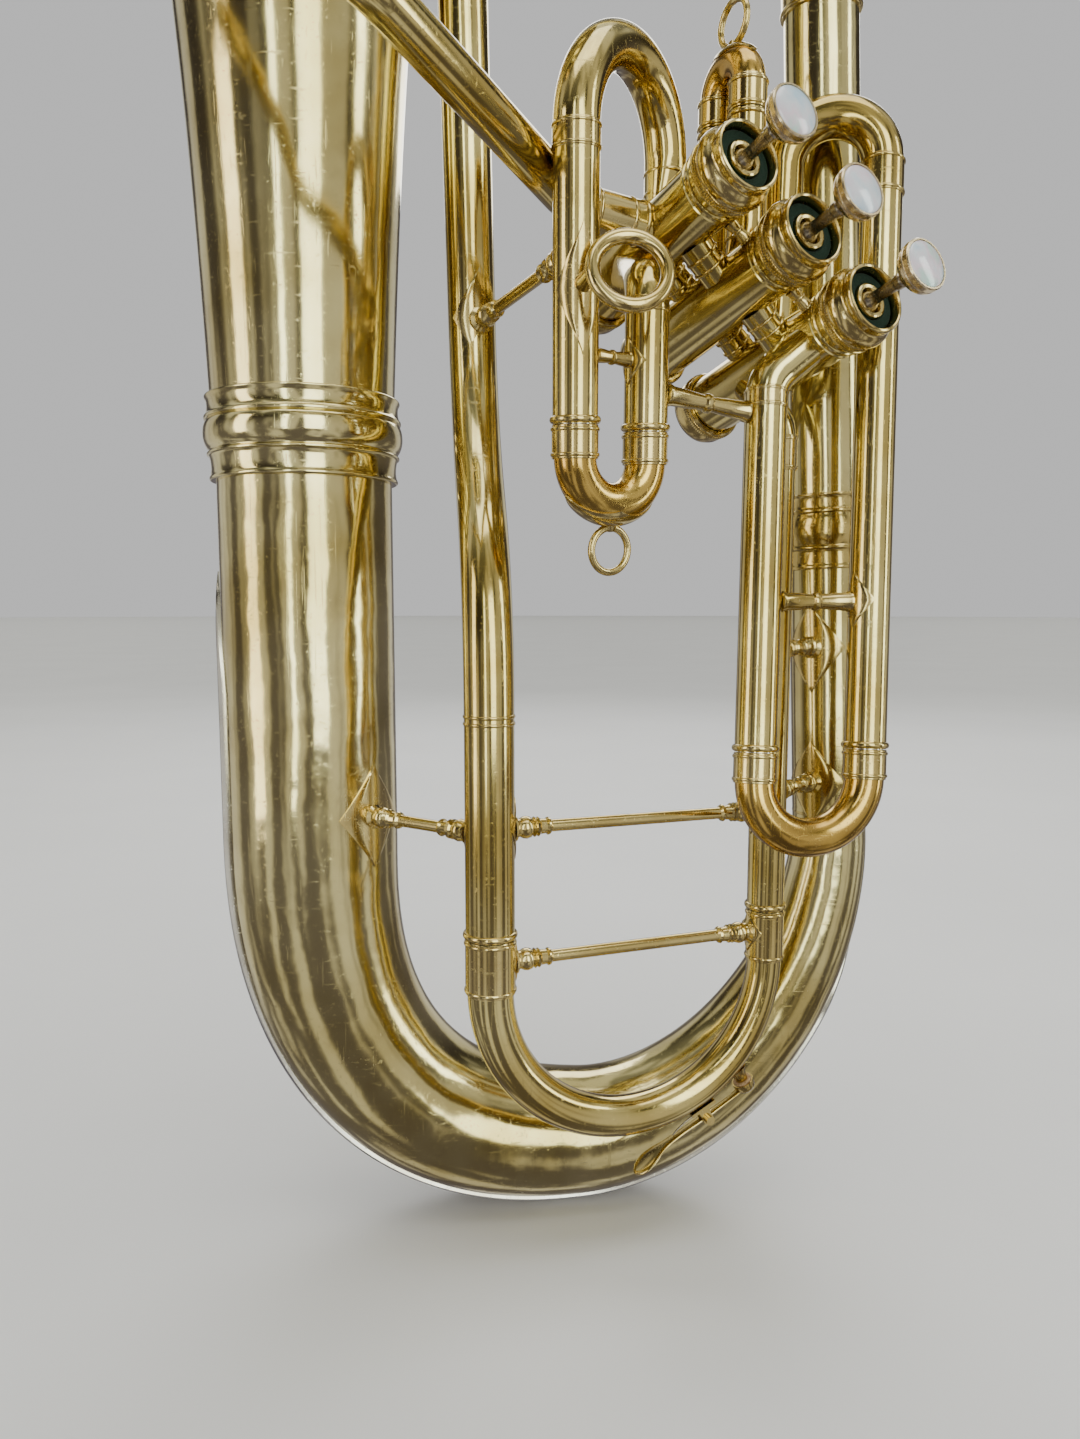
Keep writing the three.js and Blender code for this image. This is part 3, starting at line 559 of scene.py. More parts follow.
def make_bottom_bow():
    """The bow and the straight leg that goes up to the bell."""
    leg = [BELL + Z_AXIS * z for z in (345, 300, 250, 210, 185)]
    route = leg + bow_arc + [bow_end + Z_AXIS * 2]
    lengths = lengths_along(route)
    leg_share = lengths[len(leg)] / lengths[-1]
    arc_share = bow_lengths[-1] / lengths[-1]

    def radius(share):
        return bow_radius((share - leg_share) / arc_share)

    shells = [sweep(route, radius, lambda share: radius(share) - 0.8, 96, BOW_SIDE)]
    piece("bottom_bow_tube", shells, wavy_brass, ["bottom_bow"])


def strip(route, side, radius, thick, spread, clear=-0.2):
    """A strip on the outer side of a bent tube. Radius and spread (an angle) depend on the length."""
    lengths = lengths_along(route)
    inner, outer = [], []
    for (here, tangent, across, _), length in zip(frames_along(route, side), lengths):
        outward = across.cross(tangent)
        half = max(spread(length, lengths[-1]), 0.004)
        lines = ([], [])
        for k in range(13):
            turn = half * (k / 6 - 1)
            around = outward * math.cos(turn) + across * math.sin(turn)
            edge = 0.4 * thick if k in (0, 12) else 0
            lines[0].append(here + around * (radius(length) + clear))
            lines[1].append(here + around * (radius(length) + thick - edge))
        inner.append(lines[0])
        outer.append(lines[1])
    return slab(inner, outer)


def make_guard():
    """A strip with pointed ends along the outer side of the bow."""
    straight = [BELL + Z_AXIS * z for z in (290, 288, 284, 279, 273, 266, 258, 249, 238, 220, 200, 185)]
    arc = [p for p, length in zip(bow_arc, bow_lengths) if length < 0.90 * bow_lengths[-1]]
    first = 290 - BOW_TOP

    def radius(length):
        return bow_radius((length - first) / bow_lengths[-1])

    def spread(length, total):
        return 0.52 * min(1, length / 46, (total - length) / 34) ** 0.8

    guard = strip(straight + arc, BOW_SIDE, radius, 2.2, spread)
    piece("guard_strip", [guard], nickel, ["bow_guard"])


def make_bell_ferrule():
    """The turned band between the bell and the bottom bow."""
    half = [
        (37.4, 361.2), (39.6, 361.2), (40.3, 360.6), (40.0, 359.8), (39.5, 358.4), (39.5, 355.6),
        (40.1, 353.4), (40.7, 352.6), (40.6, 351.6), (39.9, 351.2), (40.5, 350.2), (41.1, 348.2),
        (41.3, 345.6), (41.0, 343.0), (40.1, 340.6), (39.1, 339.2), (39.1, 338.6), (39.8, 338.0),
        (39.8, 337.2), (39.0, 336.6), (38.5, 334.6), (38.3, 331.6), (38.6, 329.2), (39.1, 328.0),
        (39.0, 327.2), (38.2, 326.8), (36.2, 326.8),
    ]
    profile = smooth(half, 3) + [(36.2, 361.2), half[0]]
    shells = [lathe(profile, BELL, Z_AXIS, 128)]
    piece("bell_garland", shells, bell_brass, ["bell_ferrule"])


# ---- Branches and top bow ----

RIGHT_UP = (RIGHT_HEAD - RIGHT_FOOT).normalized()


def make_branches():
    """The two branches, their garland and ferrules, and the top bow between them."""
    route = [RIGHT_FOOT - RIGHT_UP * 0.8, RIGHT_HEAD]
    shells = [sweep(route, lambda s: 16.7 - s, lambda s: 16.0 - s, 72)]
    piece("right_branch_tube", shells, bell_brass, ["right_branch"])
    half = [
        (16.2, 33), (17.6, 33), (18.0, 32.2), (17.4, 31.2), (17.2, 29), (17.4, 26.6), (18.2, 25.8),
        (18.2, 24.8), (17.6, 24.2), (18.3, 22), (19.0, 18.4), (18.8, 14.6), (17.9, 11.4),
        (17.6, 10.6), (18.2, 9.8), (18.2, 9), (17.4, 8.2), (17.2, 5.4), (17.4, 2.4), (17.9, 1.2),
        (17.6, 0), (16.2, 0),
    ]
    profile = smooth(half, 3) + [half[0]]
    foot = at_z(RIGHT_FOOT, RIGHT_UP, 291.5)[0]
    shells = [lathe(profile, foot, RIGHT_UP, 72)]
    shells += [bead(at_z(RIGHT_FOOT, RIGHT_UP, z), 16.4, 2, 0.45, 72) for z in (176.5, 181)]
    piece("right_branch_garland", shells, trim_brass, ["right_branch_ferrule"])

    start, end = RIGHT_HEAD + Z_AXIS * 0.4, LEFT_HEAD + Z_AXIS * 0.4
    arch = bow_route(start + Z_AXIS * 5, end + Z_AXIS * 5, Z_AXIS, 71.8, 72)
    shells = [sweep([start, *arch, end], lambda s: 16 - 5.7 * s, lambda s: 15.3 - 5.7 * s, 64)]
    piece("top_bow_tube", shells, bell_brass, ["top_bow"])
    shells = sleeve(RIGHT_HEAD - RIGHT_UP * 14, RIGHT_UP, 16, 22, 0.7, 0.7, 1.8, 72)
    shells += sleeve(LEFT_HEAD - Z_AXIS * 12, Z_AXIS, 10.3, 20, 0.6, 0.6, 1.6, 64)
    piece("top_bow_ferrules", shells, trim_brass)

    corners = [LEFT_HEAD, LEFT_KNEE, LEFT_FOOT, MAIN_LEFT + Z_AXIS * (MAIN_LEG_TOP_Z + 0.2)]
    route = rounded_route(corners, 120, 32)
    shells = [sweep(route, lambda s: 10.3 - 0.6 * s, lambda s: 9.5 - 0.6 * s, 64, Vector((1, 0, 0)))]
    piece("left_branch_tube", shells, brass, ["left_branch"])
    shells = [bead((MAIN_LEFT + Z_AXIS * z, Z_AXIS), 9.6, 1.5, 0.6) for z in (230.6, 233.4)]
    place = Vector((-45.4, -8, 394)), LEFT_HEAD - LEFT_KNEE
    shells.append(diamond(place, Vector((40, -58, 0)), 10.2, 42, 24))
    piece("left_branch_trim", shells, trim_brass)


# ---- Main tuning slide ----

main_side = (MAIN_RIGHT - MAIN_LEFT).normalized()
main_span = (MAIN_RIGHT - MAIN_LEFT).length


def on_valve(number, depth):
    """A point on a valve's centre line, at a depth below the top cap's edge."""
    return VALVE_CENTRE + ROW_AXIS * ((number - 2) * VALVE_SPACING) - VALVE_AXIS * depth


def short_of(axis_point, before):
    """A point short of a valve's centre line, on the way to it."""
    return axis_point + (before - axis_point).normalized() * PORT_STOP


def coped(shell, *numbers):
    """A tube or bar whose ends are shaped to meet the valve casings."""
    points, faces = shell
    for number in numbers:
        foot = on_valve(number, 0)
        moved = []
        for p in points:
            middle = foot + VALVE_AXIS * (p - foot).dot(VALVE_AXIS)
            out = p - middle
            moved.append(middle + out.normalized() * PORT_CIRCLE if out.length < PORT_CIRCLE else p)
        points = moved
    return points, faces


def slide_bow(tops, up, radii, insert, straight):
    """A U bow, its inner legs and its two ferrules."""
    up = up.normalized()
    feet = [top - up * straight for top in tops]
    depth = (feet[0] - feet[1]).length / 2
    route = bow_route(feet[0] + up * 0.5, feet[1] + up * 0.5, -up, depth, 64)
    side = tops[1] - tops[0]

    def outer(share):
        return radii[0] + (radii[1] - radii[0]) * share - 0.5

    bow = [sweep(route, outer, lambda share: outer(share) - 0.8, 48, side)]
    ferrules, legs = [], []
    for top, radius in zip(tops, radii):
        ferrules += sleeve(top - up * (straight + 0.3), up, radius - 0.35, straight, 0.6, 0.55, 1.5)
        legs.append(sweep([top - up * 3, top + up * insert], radius - 1.35, radius - 2.1, 40, side))
    return bow, ferrules, legs


def mouth_beads(tops, up, radii):
    """The beads at the ends of the fixed legs that a slide runs in."""
    up = up.normalized()
    return [bead((top + up * 1.5, up), radius, 2.7, 1.15) for top, radius in zip(tops, radii)]


def make_main_slide():
    """The main tuning slide, and the two fixed legs it runs in with their braces."""
    mouths = [MAIN_LEFT + Z_AXIS * MAIN_MOUTH_Z, MAIN_RIGHT + Z_AXIS * MAIN_MOUTH_Z]
    bow, ferrules, legs = slide_bow(mouths, Z_AXIS, MAIN_RADII, 72, MAIN_FERRULE)
    left, right = MAIN_LEFT + Z_AXIS * 135.5, MAIN_RIGHT + Z_AXIS * 136.5
    ferrules.append(turned(*between(left, LEFT_LEG + 0.2, right, RIGHT_LEG + 0.2)))
    ferrules.append(diamond((left, Z_AXIS), main_side, 9.95, 17, 14, 0.7))
    ferrules.append(diamond((right, Z_AXIS), -main_side, 8.05, 17, 15, 0.7))
    piece("main_slide_crook", bow, brass, ["main_slide_bow"], "main_slide")
    piece("main_slide_trim", ferrules, trim_brass, body="main_slide")
    piece("main_slide_inner_legs", legs, nickel, body="main_slide")

    left_top = MAIN_LEFT + Z_AXIS * MAIN_LEG_TOP_Z
    shells = [sweep([left_top, mouths[0]], LEFT_LEG, LEFT_LEG - TUBE_WALL, 56, main_side)]
    piece("left_outer_leg", shells, brass, ["main_slide_left_leg"])
    bend = MAIN_RIGHT + Z_AXIS * 349
    route = rounded_route([short_of(on_valve(3, 76), bend), bend, mouths[1]], 14)
    shells = [coped(sweep(route, RIGHT_LEG, RIGHT_LEG - TUBE_WALL, 48, main_side), 3)]
    piece("right_outer_leg", shells, brass, ["main_slide_right_leg"])

    shells = mouth_beads(mouths, Z_AXIS, MAIN_RADII)
    shells += sleeve(MAIN_RIGHT + Z_AXIS * 330, Z_AXIS, RIGHT_LEG, 14, 0.5, 0.5, 1.4)
    for z, height in ((257, 40), (196, 38)):
        place = at_z(RIGHT_FOOT, RIGHT_UP, z)
        outward = MAIN_RIGHT + Z_AXIS * z - place[0]
        shells.append(diamond(place, outward, 16.6, height, 30, 0.9))
        shells.append(turned(*between(place[0], 16.8, MAIN_RIGHT + Z_AXIS * z, RIGHT_LEG)))
    left, right = MAIN_LEFT + Z_AXIS * 189, MAIN_RIGHT + Z_AXIS * 189
    shells.append(turned(*between(left, LEFT_LEG, right, RIGHT_LEG)))
    shells.append(diamond((left, Z_AXIS), main_side, 9.6, 26, 15, 0.7))
    shells.append(diamond((right, Z_AXIS), -main_side, 7.7, 20, 14, 0.7))
    piece("right_leg_posts", shells, trim_brass, ["leg_brace"])


# ---- Valves ----


def make_valve(number):
    """A casing with its two caps, and the piston with its stem, felt and finger button."""
    body = f"valve_{number}"
    foot = on_valve(number, 0)

    def turn(profile, sides=72):
        return lathe(profile, foot, VALVE_AXIS, sides)

    casing = [
        (12.3, -105), (13, -105), (13, -23.4), (13.5, -23), (13.5, -22.2), (13, -21.8), (13, -20.4),
        (13.9, -20), (14.1, -19.4), (13.9, -18.8), (13.3, -18.4), (13.3, -2.6), (12.3, -2.6),
        (12.3, -105),
    ]
    piece(f"casing_{number}", [turn(casing)], brass, [f"valve_casing_{number}"])
    cap = [
        (13.35, -15.4), (14.9, -15.4), (15.2, -15.0), (15.1, -14.6), (14.6, -14.4), (14.6, -11.6),
        (15.2, -11.3), (15.7, -10.4), (15.8, -9.2), (15.6, -7.9), (15.1, -6.7), (14.4, -5.7),
        (13.9, -5.1), (13.5, -4.4), (13.4, -3.6), (13.5, -2.8), (13.7, -2.0), (13.7, -1.0),
        (13.3, -0.3), (12.7, -0.05), (12.2, -0.4), (11.9, -1.2), (11.9, -6.4), (13.35, -6.8),
        (13.35, -15.4),
    ]
    shells = [turn(cap, 96), knurl(foot, VALVE_AXIS, 14.8, -14.3, -11.7)]
    piece(f"cap_{number}", shells, trim_brass, [f"top_cap_{number}"])
    base = [
        (13.3, -97), (14.2, -97), (14.8, -97.8), (14.9, -103), (14.6, -106.6), (13.6, -109),
        (11.4, -110.6), (7, -111.8), (5, -112), (4.6, -113.4), (3.2, -114), (0.02, -114),
        (0.02, -105.4), (13.3, -105.4), (13.3, -97),
    ]
    shells = [turn(base, 96), knurl(foot, VALVE_AXIS, 15.0, -101.6, -98.6)]
    piece(f"base_cap_{number}", shells, trim_brass, [f"bottom_cap_{number}"])

    stem = [
        (0.02, -77), (11.2, -77), (11.6, -76.4), (11.6, -7.8), (11.2, -7.2), (4.6, -7), (4.3, -4),
        (3.4, -2.2), (2.6, -1), (2.4, 1), (2.4, 9.6), (2.9, 10.2), (3.0, 12.4), (2.6, 13),
        (2.6, 15.6), (0.02, 15.6),
    ]
    piece(f"piston_body_{number}", [turn(stem)], dark_steel, [f"piston_{number}"], body)
    ring = [
        (7.1, -6.8), (11.5, -6.8), (11.6, -6.2), (11.4, -4), (10.9, -3.6), (7.6, -3.6), (7.2, -4),
        (7.1, -6.8),
    ]
    piece(f"felt_ring_{number}", [turn(ring)], felt, [f"stem_felt_{number}"], body)
    washer = [
        (4.7, -6.8), (6.9, -6.8), (7.0, -3.4), (6.7, -2.6), (6.1, -2.3), (5.1, -2.5), (4.7, -3.2),
        (4.7, -6.8),
    ]
    piece(f"stem_washer_{number}", [turn(washer)], trim_brass, body=body)
    cup = [
        (0.02, 14.4), (3.3, 14.4), (3.7, 14.9), (4.4, 15.3), (6.2, 15.9), (7.8, 16.9), (9.0, 18.2),
        (9.6, 19.5), (9.75, 20.4), (9.5, 20.8), (9.85, 21.2), (9.85, 23.0), (9.5, 23.5),
        (8.95, 23.5), (8.9, 22.2), (0.02, 22.2),
    ]
    nodes = [f"finger_button_{number}"]
    piece(f"button_cup_{number}", [turn(cup, 96)], champagne, nodes, body)
    disc = [(0.02, 22.3), (8.8, 22.3), (8.8, 23.1)]
    disc += [(8.8 * math.cos(a), 23.1 + 1.55 * math.sin(a)) for a in (0.12 * k for k in range(1, 13))]
    disc.append((0.02, 24.66))
    piece(f"pearl_{number}", [turn(disc, 96)], pearl, [f"button_pearl_{number}"], body)


def make_ports():
    """The short tubes and braces between the casings."""
    shells, trim = [], []
    for first in (1, 2):
        for near, far, radius, shift in PORTS:
            start = on_valve(first, near) + SIDE_AXIS * shift
            end = on_valve(first + 1, far) + SIDE_AXIS * shift
            ends = [short_of(start, end), short_of(end, start)]
            shells.append(coped(sweep(ends, radius, None, 40), first, first + 1))
            along = (end - start).normalized()
            middle = (start + end) / 2
            trim += [bead((middle + along * k, along), radius, 1.4, 0.7) for k in (-2.6, 2.6)]
        start, end = on_valve(first, 24) - SIDE_AXIS * 2, on_valve(first + 1, 24) - SIDE_AXIS * 2
        ends = between(start, CASING_RADIUS, end, CASING_RADIUS)
        trim.append(turned(*ends, shape=WAIST_END, size=0.8))
    piece("valve_ports", shells, brass, ["valve_port_1_2", "valve_port_2_3"])
    piece("valve_port_trim", trim, trim_brass)


# ---- Valve slides ----


def slide_tube(route):
    """A fixed tube of the first or the third slide."""
    return sweep(route, SLIDE_RADIUS, SLIDE_RADIUS - TUBE_WALL, 48)


def pull_ring(feet, up, radius):
    """A finger ring soldered on the end of a bow, on a plate that wraps the bow and ends in points."""
    side = (feet[1] - feet[0]).normalized()
    lows = [foot - up * (SLIDE_FERRULE - 0.5) for foot in feet]
    route = bow_route(*lows, -up, (feet[1] - feet[0]).length / 2, 64)[12:53]
    plate = strip(
        route,
        up.cross(side),
        lambda length: radius - 0.5,
        0.75,
        lambda length, total: 1.25 * (1 - abs(2 * length / total - 1)) ** 0.8,
    )
    end = SLIDE_FERRULE + (feet[1] - feet[0]).length / 2 + radius
    middle = (feet[0] + feet[1]) / 2
    ring = torus(middle - up * (end + 8.4), side.cross(up), 8.4, 1.4)
    profile = [(0.02, 0), (2.6, 0), (2.2, 1.4), (1.6, 2.4), (0.02, 2.6)]
    collar = lathe(profile, middle - up * (end - 0.9), -up, 24)
    return [ring, collar, plate]


def make_slide(name, mouths, up, radius, insert, ringed=True):
    """The part of a valve's slide that moves: bow, ferrules, inner legs and a pull ring."""
    bow, ferrules, legs = slide_bow(mouths, up, (radius, radius), insert, SLIDE_FERRULE)
    if ringed:
        ferrules += pull_ring(mouths, up, radius)
    body = f"{name}_slide"
    piece(f"{name}_bow", bow, rich_brass, [f"{name}_slide_bow"], body)
    piece(f"{name}_slide_ferrules", ferrules, trim_brass, body=body)
    piece(f"{name}_slide_legs", legs, nickel, body=body)


def make_first_slide():
    """The first valve's slide, with the crook and the elbow that lead to it."""
    left, right = FIRST
    port = on_valve(1, 52)
    arch = bow_route(left + FIRST_UP * 99, Vector((port.x, port.y, 448)), Z_AXIS, 34, 56)
    shells = [coped(slide_tube([left, *arch, short_of(port, arch[-1])]), 1)]
    piece("first_crook", shells, brass, ["first_slide_crook"])
    bend = right + FIRST_UP * 53
    route = rounded_route([right, bend, short_of(on_valve(1, 78) + DOWN * 3, bend)], 14)
    shells = [coped(slide_tube(route), 1)]
    piece("first_elbow", shells, brass, ["first_slide_elbow"])
    trim = mouth_beads(FIRST, FIRST_UP, SLIDE_RADII)
    trim += sleeve(left + FIRST_UP * 91, FIRST_UP, 8.25, 9, 0.3, 0.35, 1.1)
    trim += [bead((Vector((port.x, port.y, z)), Z_AXIS), 8.25, 1.3, 0.5) for z in (436, 444)]
    trim += [bead(at_z(right, FIRST_UP, z), 8.25, 1.3, 0.5) for z in (384, 388)]
    start, end = at_z(left, FIRST_UP, 366)[0], at_z(right, FIRST_UP, 366)[0]
    trim.append(turned(*between(start, SLIDE_RADIUS, end, SLIDE_RADIUS), shape=WAIST_END, size=0.85))
    trim.append(diamond(at_z(right, FIRST_UP, 366), start - end, 8.2, 17, 15, 0.7))
    piece("first_slide_trim", trim, trim_brass, ["first_slide_brace"])
    make_slide("first", FIRST, FIRST_UP, SLIDE_RADIUS, 44)


def make_second_slide():
    """The second valve's slide, which points up, and its two legs."""
    front, rear = SECOND
    trim = []
    for name, top, depth in (("front", front, 40), ("rear", rear, 62)):
        foot = Vector((top.x, top.y, on_valve(2, depth).z))
        stations = [top.lerp(short_of(foot, top), k / 8) for k in range(9)]
        shells = [coped(sweep(stations, SECOND_RADIUS, SECOND_RADIUS - TUBE_WALL, 44), 2)]
        piece(f"second_{name}_tube", shells, brass, [f"second_slide_{name}_leg"])
        trim.append(bead((top - Z_AXIS * 1.3, Z_AXIS), SECOND_RADIUS, 2, 0.8))
        trim.append(bead((foot + Z_AXIS * 17, Z_AXIS), SECOND_RADIUS, 1.4, 0.6))
    piece("second_slide_trim", trim, trim_brass)
    make_slide("second", SECOND, DOWN, SECOND_RADIUS, 36)


def make_third_slide():
    """The third valve's slide, with the crook and the elbow that lead to it."""
    left, right = THIRD
    port = on_valve(3, 54)
    top = right + THIRD_UP * 237
    arch = bow_route(top, Vector((port.x, port.y, top.z)), Z_AXIS, 19, 48)
    shells = [coped(slide_tube([right, *arch, short_of(port, arch[-1])]), 3)]
    piece("third_crook", shells, brass, ["third_slide_crook"])
    bend = left + THIRD_UP * 147
    route = rounded_route([left, bend, short_of(on_valve(3, 28), bend)], 17)
    shells = [coped(slide_tube(route), 3)]
    piece("third_elbow", shells, brass, ["third_slide_elbow"])
    trim = mouth_beads(THIRD, THIRD_UP, SLIDE_RADII)
    trim += sleeve(at_z(right, THIRD_UP, 439)[0], THIRD_UP, 8.25, 15, 0.4, 0.5, 1.3)
    trim += sleeve(at_z(left, THIRD_UP, 352)[0], THIRD_UP, 8.25, 8, 0.3, 0.4, 1.1)
    start, end = at_z(left, THIRD_UP, 277)[0], at_z(right, THIRD_UP, 277)[0]
    trim.append(turned(*between(start, SLIDE_RADIUS, end, SLIDE_RADIUS), shape=WAIST_END))
    outward = start - end + Vector((0, -16, 0))
    trim.append(diamond(at_z(right, THIRD_UP, 277), outward, 8.2, 22, 17, 0.7))
    piece("third_slide_trim", trim, trim_brass, ["third_slide_brace"])
    make_slide("third", THIRD, THIRD_UP, SLIDE_RADIUS, 90, ringed=False)


def make_thumb_ring():
    """The thumb ring, its post and its plate on the first slide's leg."""
    centre, normal = Vector((15.5, -98, 388)), Vector((0.12, -0.94, 0.30))
    leg = at_z(FIRST[0], FIRST_UP, 386)
    rim = centre - Vector((12.6, 0, 0))
    outward = rim - leg[0]
    post = [leg[0] + outward * 0.42, (leg[0] + rim) / 2 + outward * 0.22, rim]
    shells = [
        torus(centre, normal, 13.0, 2.6, 80, 24),
        sweep(post, lambda s: 3.4 - 1.4 * s, None, 24),
        diamond(leg, outward, 8.2, 44, 21, 0.8),
    ]
    piece("thumb_ring_and_plate", shells, trim_brass, ["thumb_ring"])


# ---- Leadpipe and mouthpiece ----

LEAD_END = LEAD_CORNERS[-1]
LEAD_AWAY = (LEAD_END - LEAD_CORNERS[-2]).normalized()


def make_leadpipe():
    """The leadpipe, the receiver and the mouthpiece."""
    start = on_valve(1, 50)
    route = rounded_route([short_of(start, LEAD_CORNERS[0]), *LEAD_CORNERS], 40)
    shells = [coped(sweep(route, lambda s: 7.9 - 1.2 * s, lambda s: 7.0 - 1.2 * s, 48), 1)]
    piece("leadpipe_tube", shells, brass, ["leadpipe"])
    away = (LEAD_CORNERS[0] - start).normalized()
    trim = sleeve(start + away * 18, away, 7.85, 18, 0.4, 0.5, 1.4)
    trim.append(bead((start + away * 13.6, away), 8.2, 2, 0.7))
    piece("leadpipe_trim", trim, trim_brass)
    receiver = [
        (6.1, 0.3), (6.9, 0.1), (7.3, 0.8), (7.5, 3), (8.4, 4.2), (8.7, 5.4), (8.4, 6.4), (8.6, 8),
        (9.0, 26), (9.0, 29.2), (9.8, 30.2), (10, 31.6), (9.9, 34.2), (9.4, 35), (6.2, 35),
        (6.1, 0.3),
    ]
    shells = [lathe(receiver, LEAD_END, LEAD_AWAY, 64)]
    piece("receiver_tube", shells, trim_brass, ["mouthpiece_receiver"])
    cup = [
        (3.1, 10), (5.4, 10), (5.9, 36), (6.0, 41), (6.6, 44), (7.6, 46), (7.8, 47.4), (7.4, 48.6),
        (8.0, 51), (10.2, 55.4), (13, 60), (14.8, 65), (15.6, 69), (16.6, 71.2), (18.2, 72.4),
        (18.6, 73.6), (18.5, 75.2), (17.8, 76.4), (16.6, 76.9), (15.3, 76.7), (14.3, 75.8),
        (13.4, 73), (12.2, 67), (9.6, 61.4), (5.8, 57.6), (3.6, 55.6), (3.1, 53), (3.1, 10),
    ]
    shells = [lathe(cup, LEAD_END, LEAD_AWAY, 96)]
    piece("mouthpiece_turned", shells, silver, ["mouthpiece"], "mouthpiece")


# ---- Water key ----

KEY_TURN = 0.47
key_normal = main_side.cross(Z_AXIS)
KEY_OUT = Quaternion(key_normal, KEY_TURN) @ DOWN
KEY_ALONG = Quaternion(key_normal, KEY_TURN) @ main_side
KEY_ACROSS = KEY_ALONG.cross(KEY_OUT)
KEY_BASE = (MAIN_LEFT + MAIN_RIGHT) / 2 + Z_AXIS * (MAIN_MOUTH_Z - MAIN_FERRULE)
KEY_BASE += KEY_OUT * (main_span / 2 + MAIN_RADII[1] + 6.5)


def key_point(x, y, z=0.0):
    """A point from the water key's pivot: along the lever, out of the bow, and across."""
    return KEY_BASE + KEY_ALONG * x + KEY_OUT * y + KEY_ACROSS * z


def make_water_key():
    """The lever with its cup and cork, the saddle and the nipple on the bow, and the wire spring."""
    spine = [
        (-38.5, 3.4, 1.2), (-36, 2.8, 4.4), (-32, 1.9, 5.6), (-27, 0.9, 4.6), (-21, 0.3, 2.7),
        (-12, 0.1, 2.0), (-3, 0.2, 2.1), (6, 0.3, 1.8), (14, 0.1, 1.6), (22, -0.6, 2.2),
    ]
    table = smooth(spine, 4)
    route = [key_point(x, y) for x, y, _ in table]
    lengths = lengths_along(route)

    def width(share):
        nearest = min(range(len(lengths)), key=lambda i: abs(lengths[i] - share * lengths[-1]))
        return table[nearest][2]

    shells = [sweep(route, width, None, 28, KEY_ACROSS, lambda share: min(0.42, 0.95 / width(share)))]
    shells.append(sweep([key_point(0, 0, -1.95), key_point(0, 0, 1.95)], 2.1, None, 28))
    cup = [
        (0.02, -1.2), (2.4, -1.2), (3.8, -0.5), (4.6, 0.8), (4.8, 2.9), (4.8, 3.7), (4.1, 3.7),
        (4.1, 2.7), (0.02, 2.7),
    ]
    cup_middle = key_point(22, 0)
    shells.append(lathe(cup, cup_middle, -KEY_OUT, 40))
    piece("water_key_arm", shells, trim_brass, ["water_key_lever"], "water_key")
    pad = [(0.02, 2.8), (3.9, 2.8), (4.0, 3.4), (3.9, 4.3), (0.02, 4.4)]
    shells = [lathe(pad, cup_middle, -KEY_OUT, 40)]
    piece("water_key_pad", shells, cork, ["water_key_cork"], "water_key")

    outline = [
        (-4.6, -6.0), (-2.6, -4.6), (-2.2, -2.0), (-2.4, 0.6), (-1.6, 1.9), (0, 2.4), (1.6, 1.9),
        (2.4, 0.6), (2.2, -2.0), (2.6, -4.6), (4.6, -6.0),
    ]
    shells = []
    for way in (-1, 1):
        low, high = sorted((way * 2.35, way * 3.5))
        rings = [[key_point(x, y, z) for x, y in outline] for z in (low, high)]
        shells.append(skin(rings, False))
        shells.append(sweep([key_point(0, 0, way * 3.4), key_point(0, 0, way * 5.4)], 1.9, None, 24))
    shells.append(slab(
        [[key_point(x, -6.6, z) for z in (-4.2, 0, 4.2)] for x in (-6, 0, 6)],
        [[key_point(x, -5.2, z) for z in (-4.2, 0, 4.2)] for x in (-6, 0, 6)],
    ))
    nipple = [(0.02, 11), (4.2, 11), (3.6, 9), (2.9, 7.4), (2.8, 4.5), (0.02, 4.5)]
    shells.append(lathe(nipple[::-1], cup_middle, -KEY_OUT, 36))
    piece("water_key_posts", shells, trim_brass, ["water_key_saddle"], "main_slide")
    wire = [(2.5, -3.6), (-2, -3.2), (-8, -3.1), (-14, -2.0), (-16.5, -1.1)]
    shells = [sweep([key_point(x, y) for x, y in smooth(wire, 5)], 0.42, None, 12)]
    piece("water_key_wire", shells, dark_steel, ["water_key_spring"], "main_slide")


# ---- Fixed braces ----


def make_braces():
    """The braces between the bell, the branches and the slides' legs."""
    bell, left = BELL + Z_AXIS * 187, MAIN_LEFT + Z_AXIS * 187
    shells = [
        turned(*between(bell, BOW_WIDE, left, LEFT_LEG)),
        diamond((bell, Z_AXIS), left - bell, 36.4, 44, 34, 0.9),
        diamond((left, Z_AXIS), bell - left, 9.6, 27, 15, 0.7),
    ]
    piece("bell_side_brace", shells, trim_brass, ["bell_brace"])
    start, end = Vector((-44.5, -8, 392)), at_z(FIRST[0], FIRST_UP, 400)[0]
    shells = [
        turned(*between(start, 10.2, end, SLIDE_RADIUS)),
        diamond((end, FIRST_UP), start - end, 8.2, 22, 14, 0.7),
    ]
    piece("branch_side_brace", shells, trim_brass, ["branch_brace"])
    start, end = at_z(FIRST[1], FIRST_UP, 356)[0], at_z(THIRD[0], THIRD_UP, 350)[0]
    shells = [turned(*between(start, SLIDE_RADIUS, end, SLIDE_RADIUS), shape=WAIST_END)]
    piece("slide_side_brace", shells, trim_brass, ["slide_brace"])


def finish_carried_nodes():
    """The nodes that keep their own shape get the finish of their kind."""
    for number in (1, 2, 3):
        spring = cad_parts[f"valve_spring_{number}"]
        spring.data.materials.clear()
        spring.data.materials.append(dark_steel)


# ---- Stage ----


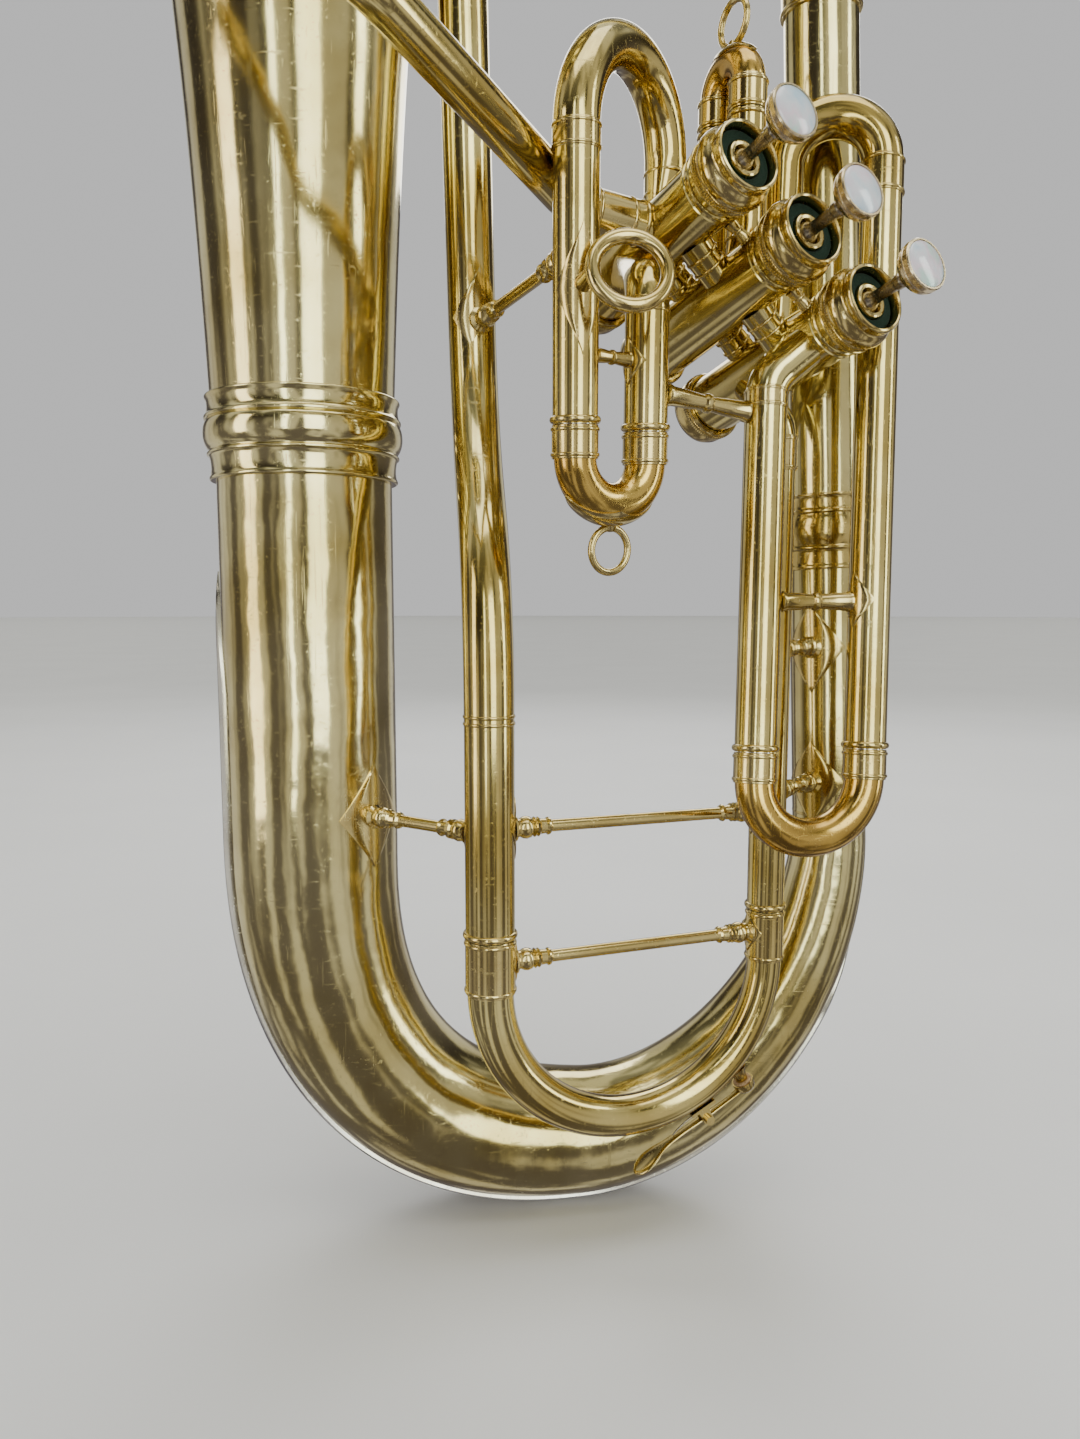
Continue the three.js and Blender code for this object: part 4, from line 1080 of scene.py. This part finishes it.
def make_stage():
    """A large round floor just below the horn."""
    mesh = bpy.data.meshes.new("floor")
    rings, sides = (0.0001, 1, 3, 8, 20), 64
    points = []
    for radius in rings:
        for k in range(sides):
            turn = 2 * math.pi * k / sides
            points.append((radius * math.cos(turn), radius * math.sin(turn), -0.0004))
    faces = []
    for a in range(len(rings) - 1):
        for k in range(sides):
            n = (k + 1) % sides
            faces.append((a * sides + k, (a + 1) * sides + k, (a + 1) * sides + n, a * sides + n))
    mesh.from_pydata(points, [], faces)
    mesh.materials.append(floor_material())
    floor = bpy.data.objects.new("floor", mesh)
    floor.visible_glossy = False
    bpy.context.scene.collection.objects.link(floor)


def area_light(name, place, target, size, power, color=(1, 1, 1)):
    """A soft rectangular panel that the camera doesn't see."""
    light = bpy.data.lights.new(name, "AREA")
    light.shape = "RECTANGLE"
    light.size, light.size_y = size
    light.energy = power
    light.color = color
    made = bpy.data.objects.new(name, light)
    made.location = place
    made.rotation_euler = (Vector(target) - Vector(place)).to_track_quat("-Z", "Y").to_euler()
    made.visible_camera = False
    bpy.context.scene.collection.objects.link(made)
    return made


# The room's tones from the floor up, as the metal reflects them
ROOM_TONES = (
    (0.0, (0.16, 0.15, 0.17, 1)),
    (0.4, (0.05, 0.045, 0.05, 1)),
    (0.5, (0.05, 0.045, 0.04, 1)),
    (0.9, (0.3, 0.31, 0.29, 1)),
)


def make_world():
    """A dim room with soft upright bands of light, which the camera sees as plain grey."""
    world = bpy.data.worlds.new("studio")
    world.use_nodes = True
    n = Nodes(world.node_tree, "Generated")
    height = n.add("ShaderNodeSeparateXYZ", {"Vector": n.place}).outputs["Z"]
    upright = n.noise(3.4, 1.5, 0.5, n.stretched((1, 1, 0.22)))
    bands = n.ramp(upright, (0.48, 0.0), (0.60, (0.62, 0.62, 0.56, 1)))
    room = n.mix(1, n.ramp(height, *ROOM_TONES), bands, "ADD")
    seen = n.add("ShaderNodeLightPath").outputs["Is Camera Ray"]
    color = n.mix(seen, room, (0.62, 0.62, 0.62, 1))
    n.tree.links.new(color, n.tree.nodes["Background"].inputs["Color"])
    bpy.context.scene.world = world


def make_lights():
    """Soft panels round the horn, and a bright ceiling that isn't reflected."""
    aim = (0, 0, 0.3)
    green_white, warm = (0.93, 1, 0.95), (1, 0.93, 0.80)
    panels = (
        area_light("front_right", (0.70, -1.75, 0.75), aim, (0.75, 1.7), 18, green_white),
        area_light("front_left", (-0.42, -1.85, 0.7), aim, (0.20, 1.8), 6, green_white),
        area_light("left", (-1.6, -0.8, 0.6), aim, (0.5, 1.6), 10, warm),
        area_light("right", (1.7, -0.35, 0.7), aim, (0.3, 1.6), 8, green_white),
    )
    for panel in panels:
        panel.visible_diffuse = False
    area_light("top", (0.1, -0.3, 2.2), aim, (1.8, 1.2), 16)
    area_light("back", (0.2, 1.8, 1.5), aim, (1.6, 0.8), 16)
    area_light("ceiling", (0, 0, 6), (0, 0, 0), (40, 40), 1900).visible_glossy = False


def make_camera():
    """A camera low in front of the horn, tilted a little down."""
    camera = bpy.data.cameras.new("camera")
    camera.lens = 36 * 1035 / 1439
    camera.clip_start = 0.01
    made = bpy.data.objects.new("camera", camera)
    made.location = (-0.015, -0.462, 0.277)
    made.rotation_euler = (math.radians(90 - 6.5), 0, 0)
    bpy.context.scene.collection.objects.link(made)
    bpy.context.scene.camera = made


make_camera()
make_stage()
make_world()
make_lights()
make_bell()
make_bottom_bow()
make_guard()
make_bell_ferrule()
make_branches()
make_main_slide()
for number in (1, 2, 3):
    make_valve(number)
make_ports()
make_first_slide()
make_second_slide()
make_third_slide()
make_thumb_ring()
make_leadpipe()
make_water_key()
make_braces()
finish_carried_nodes()
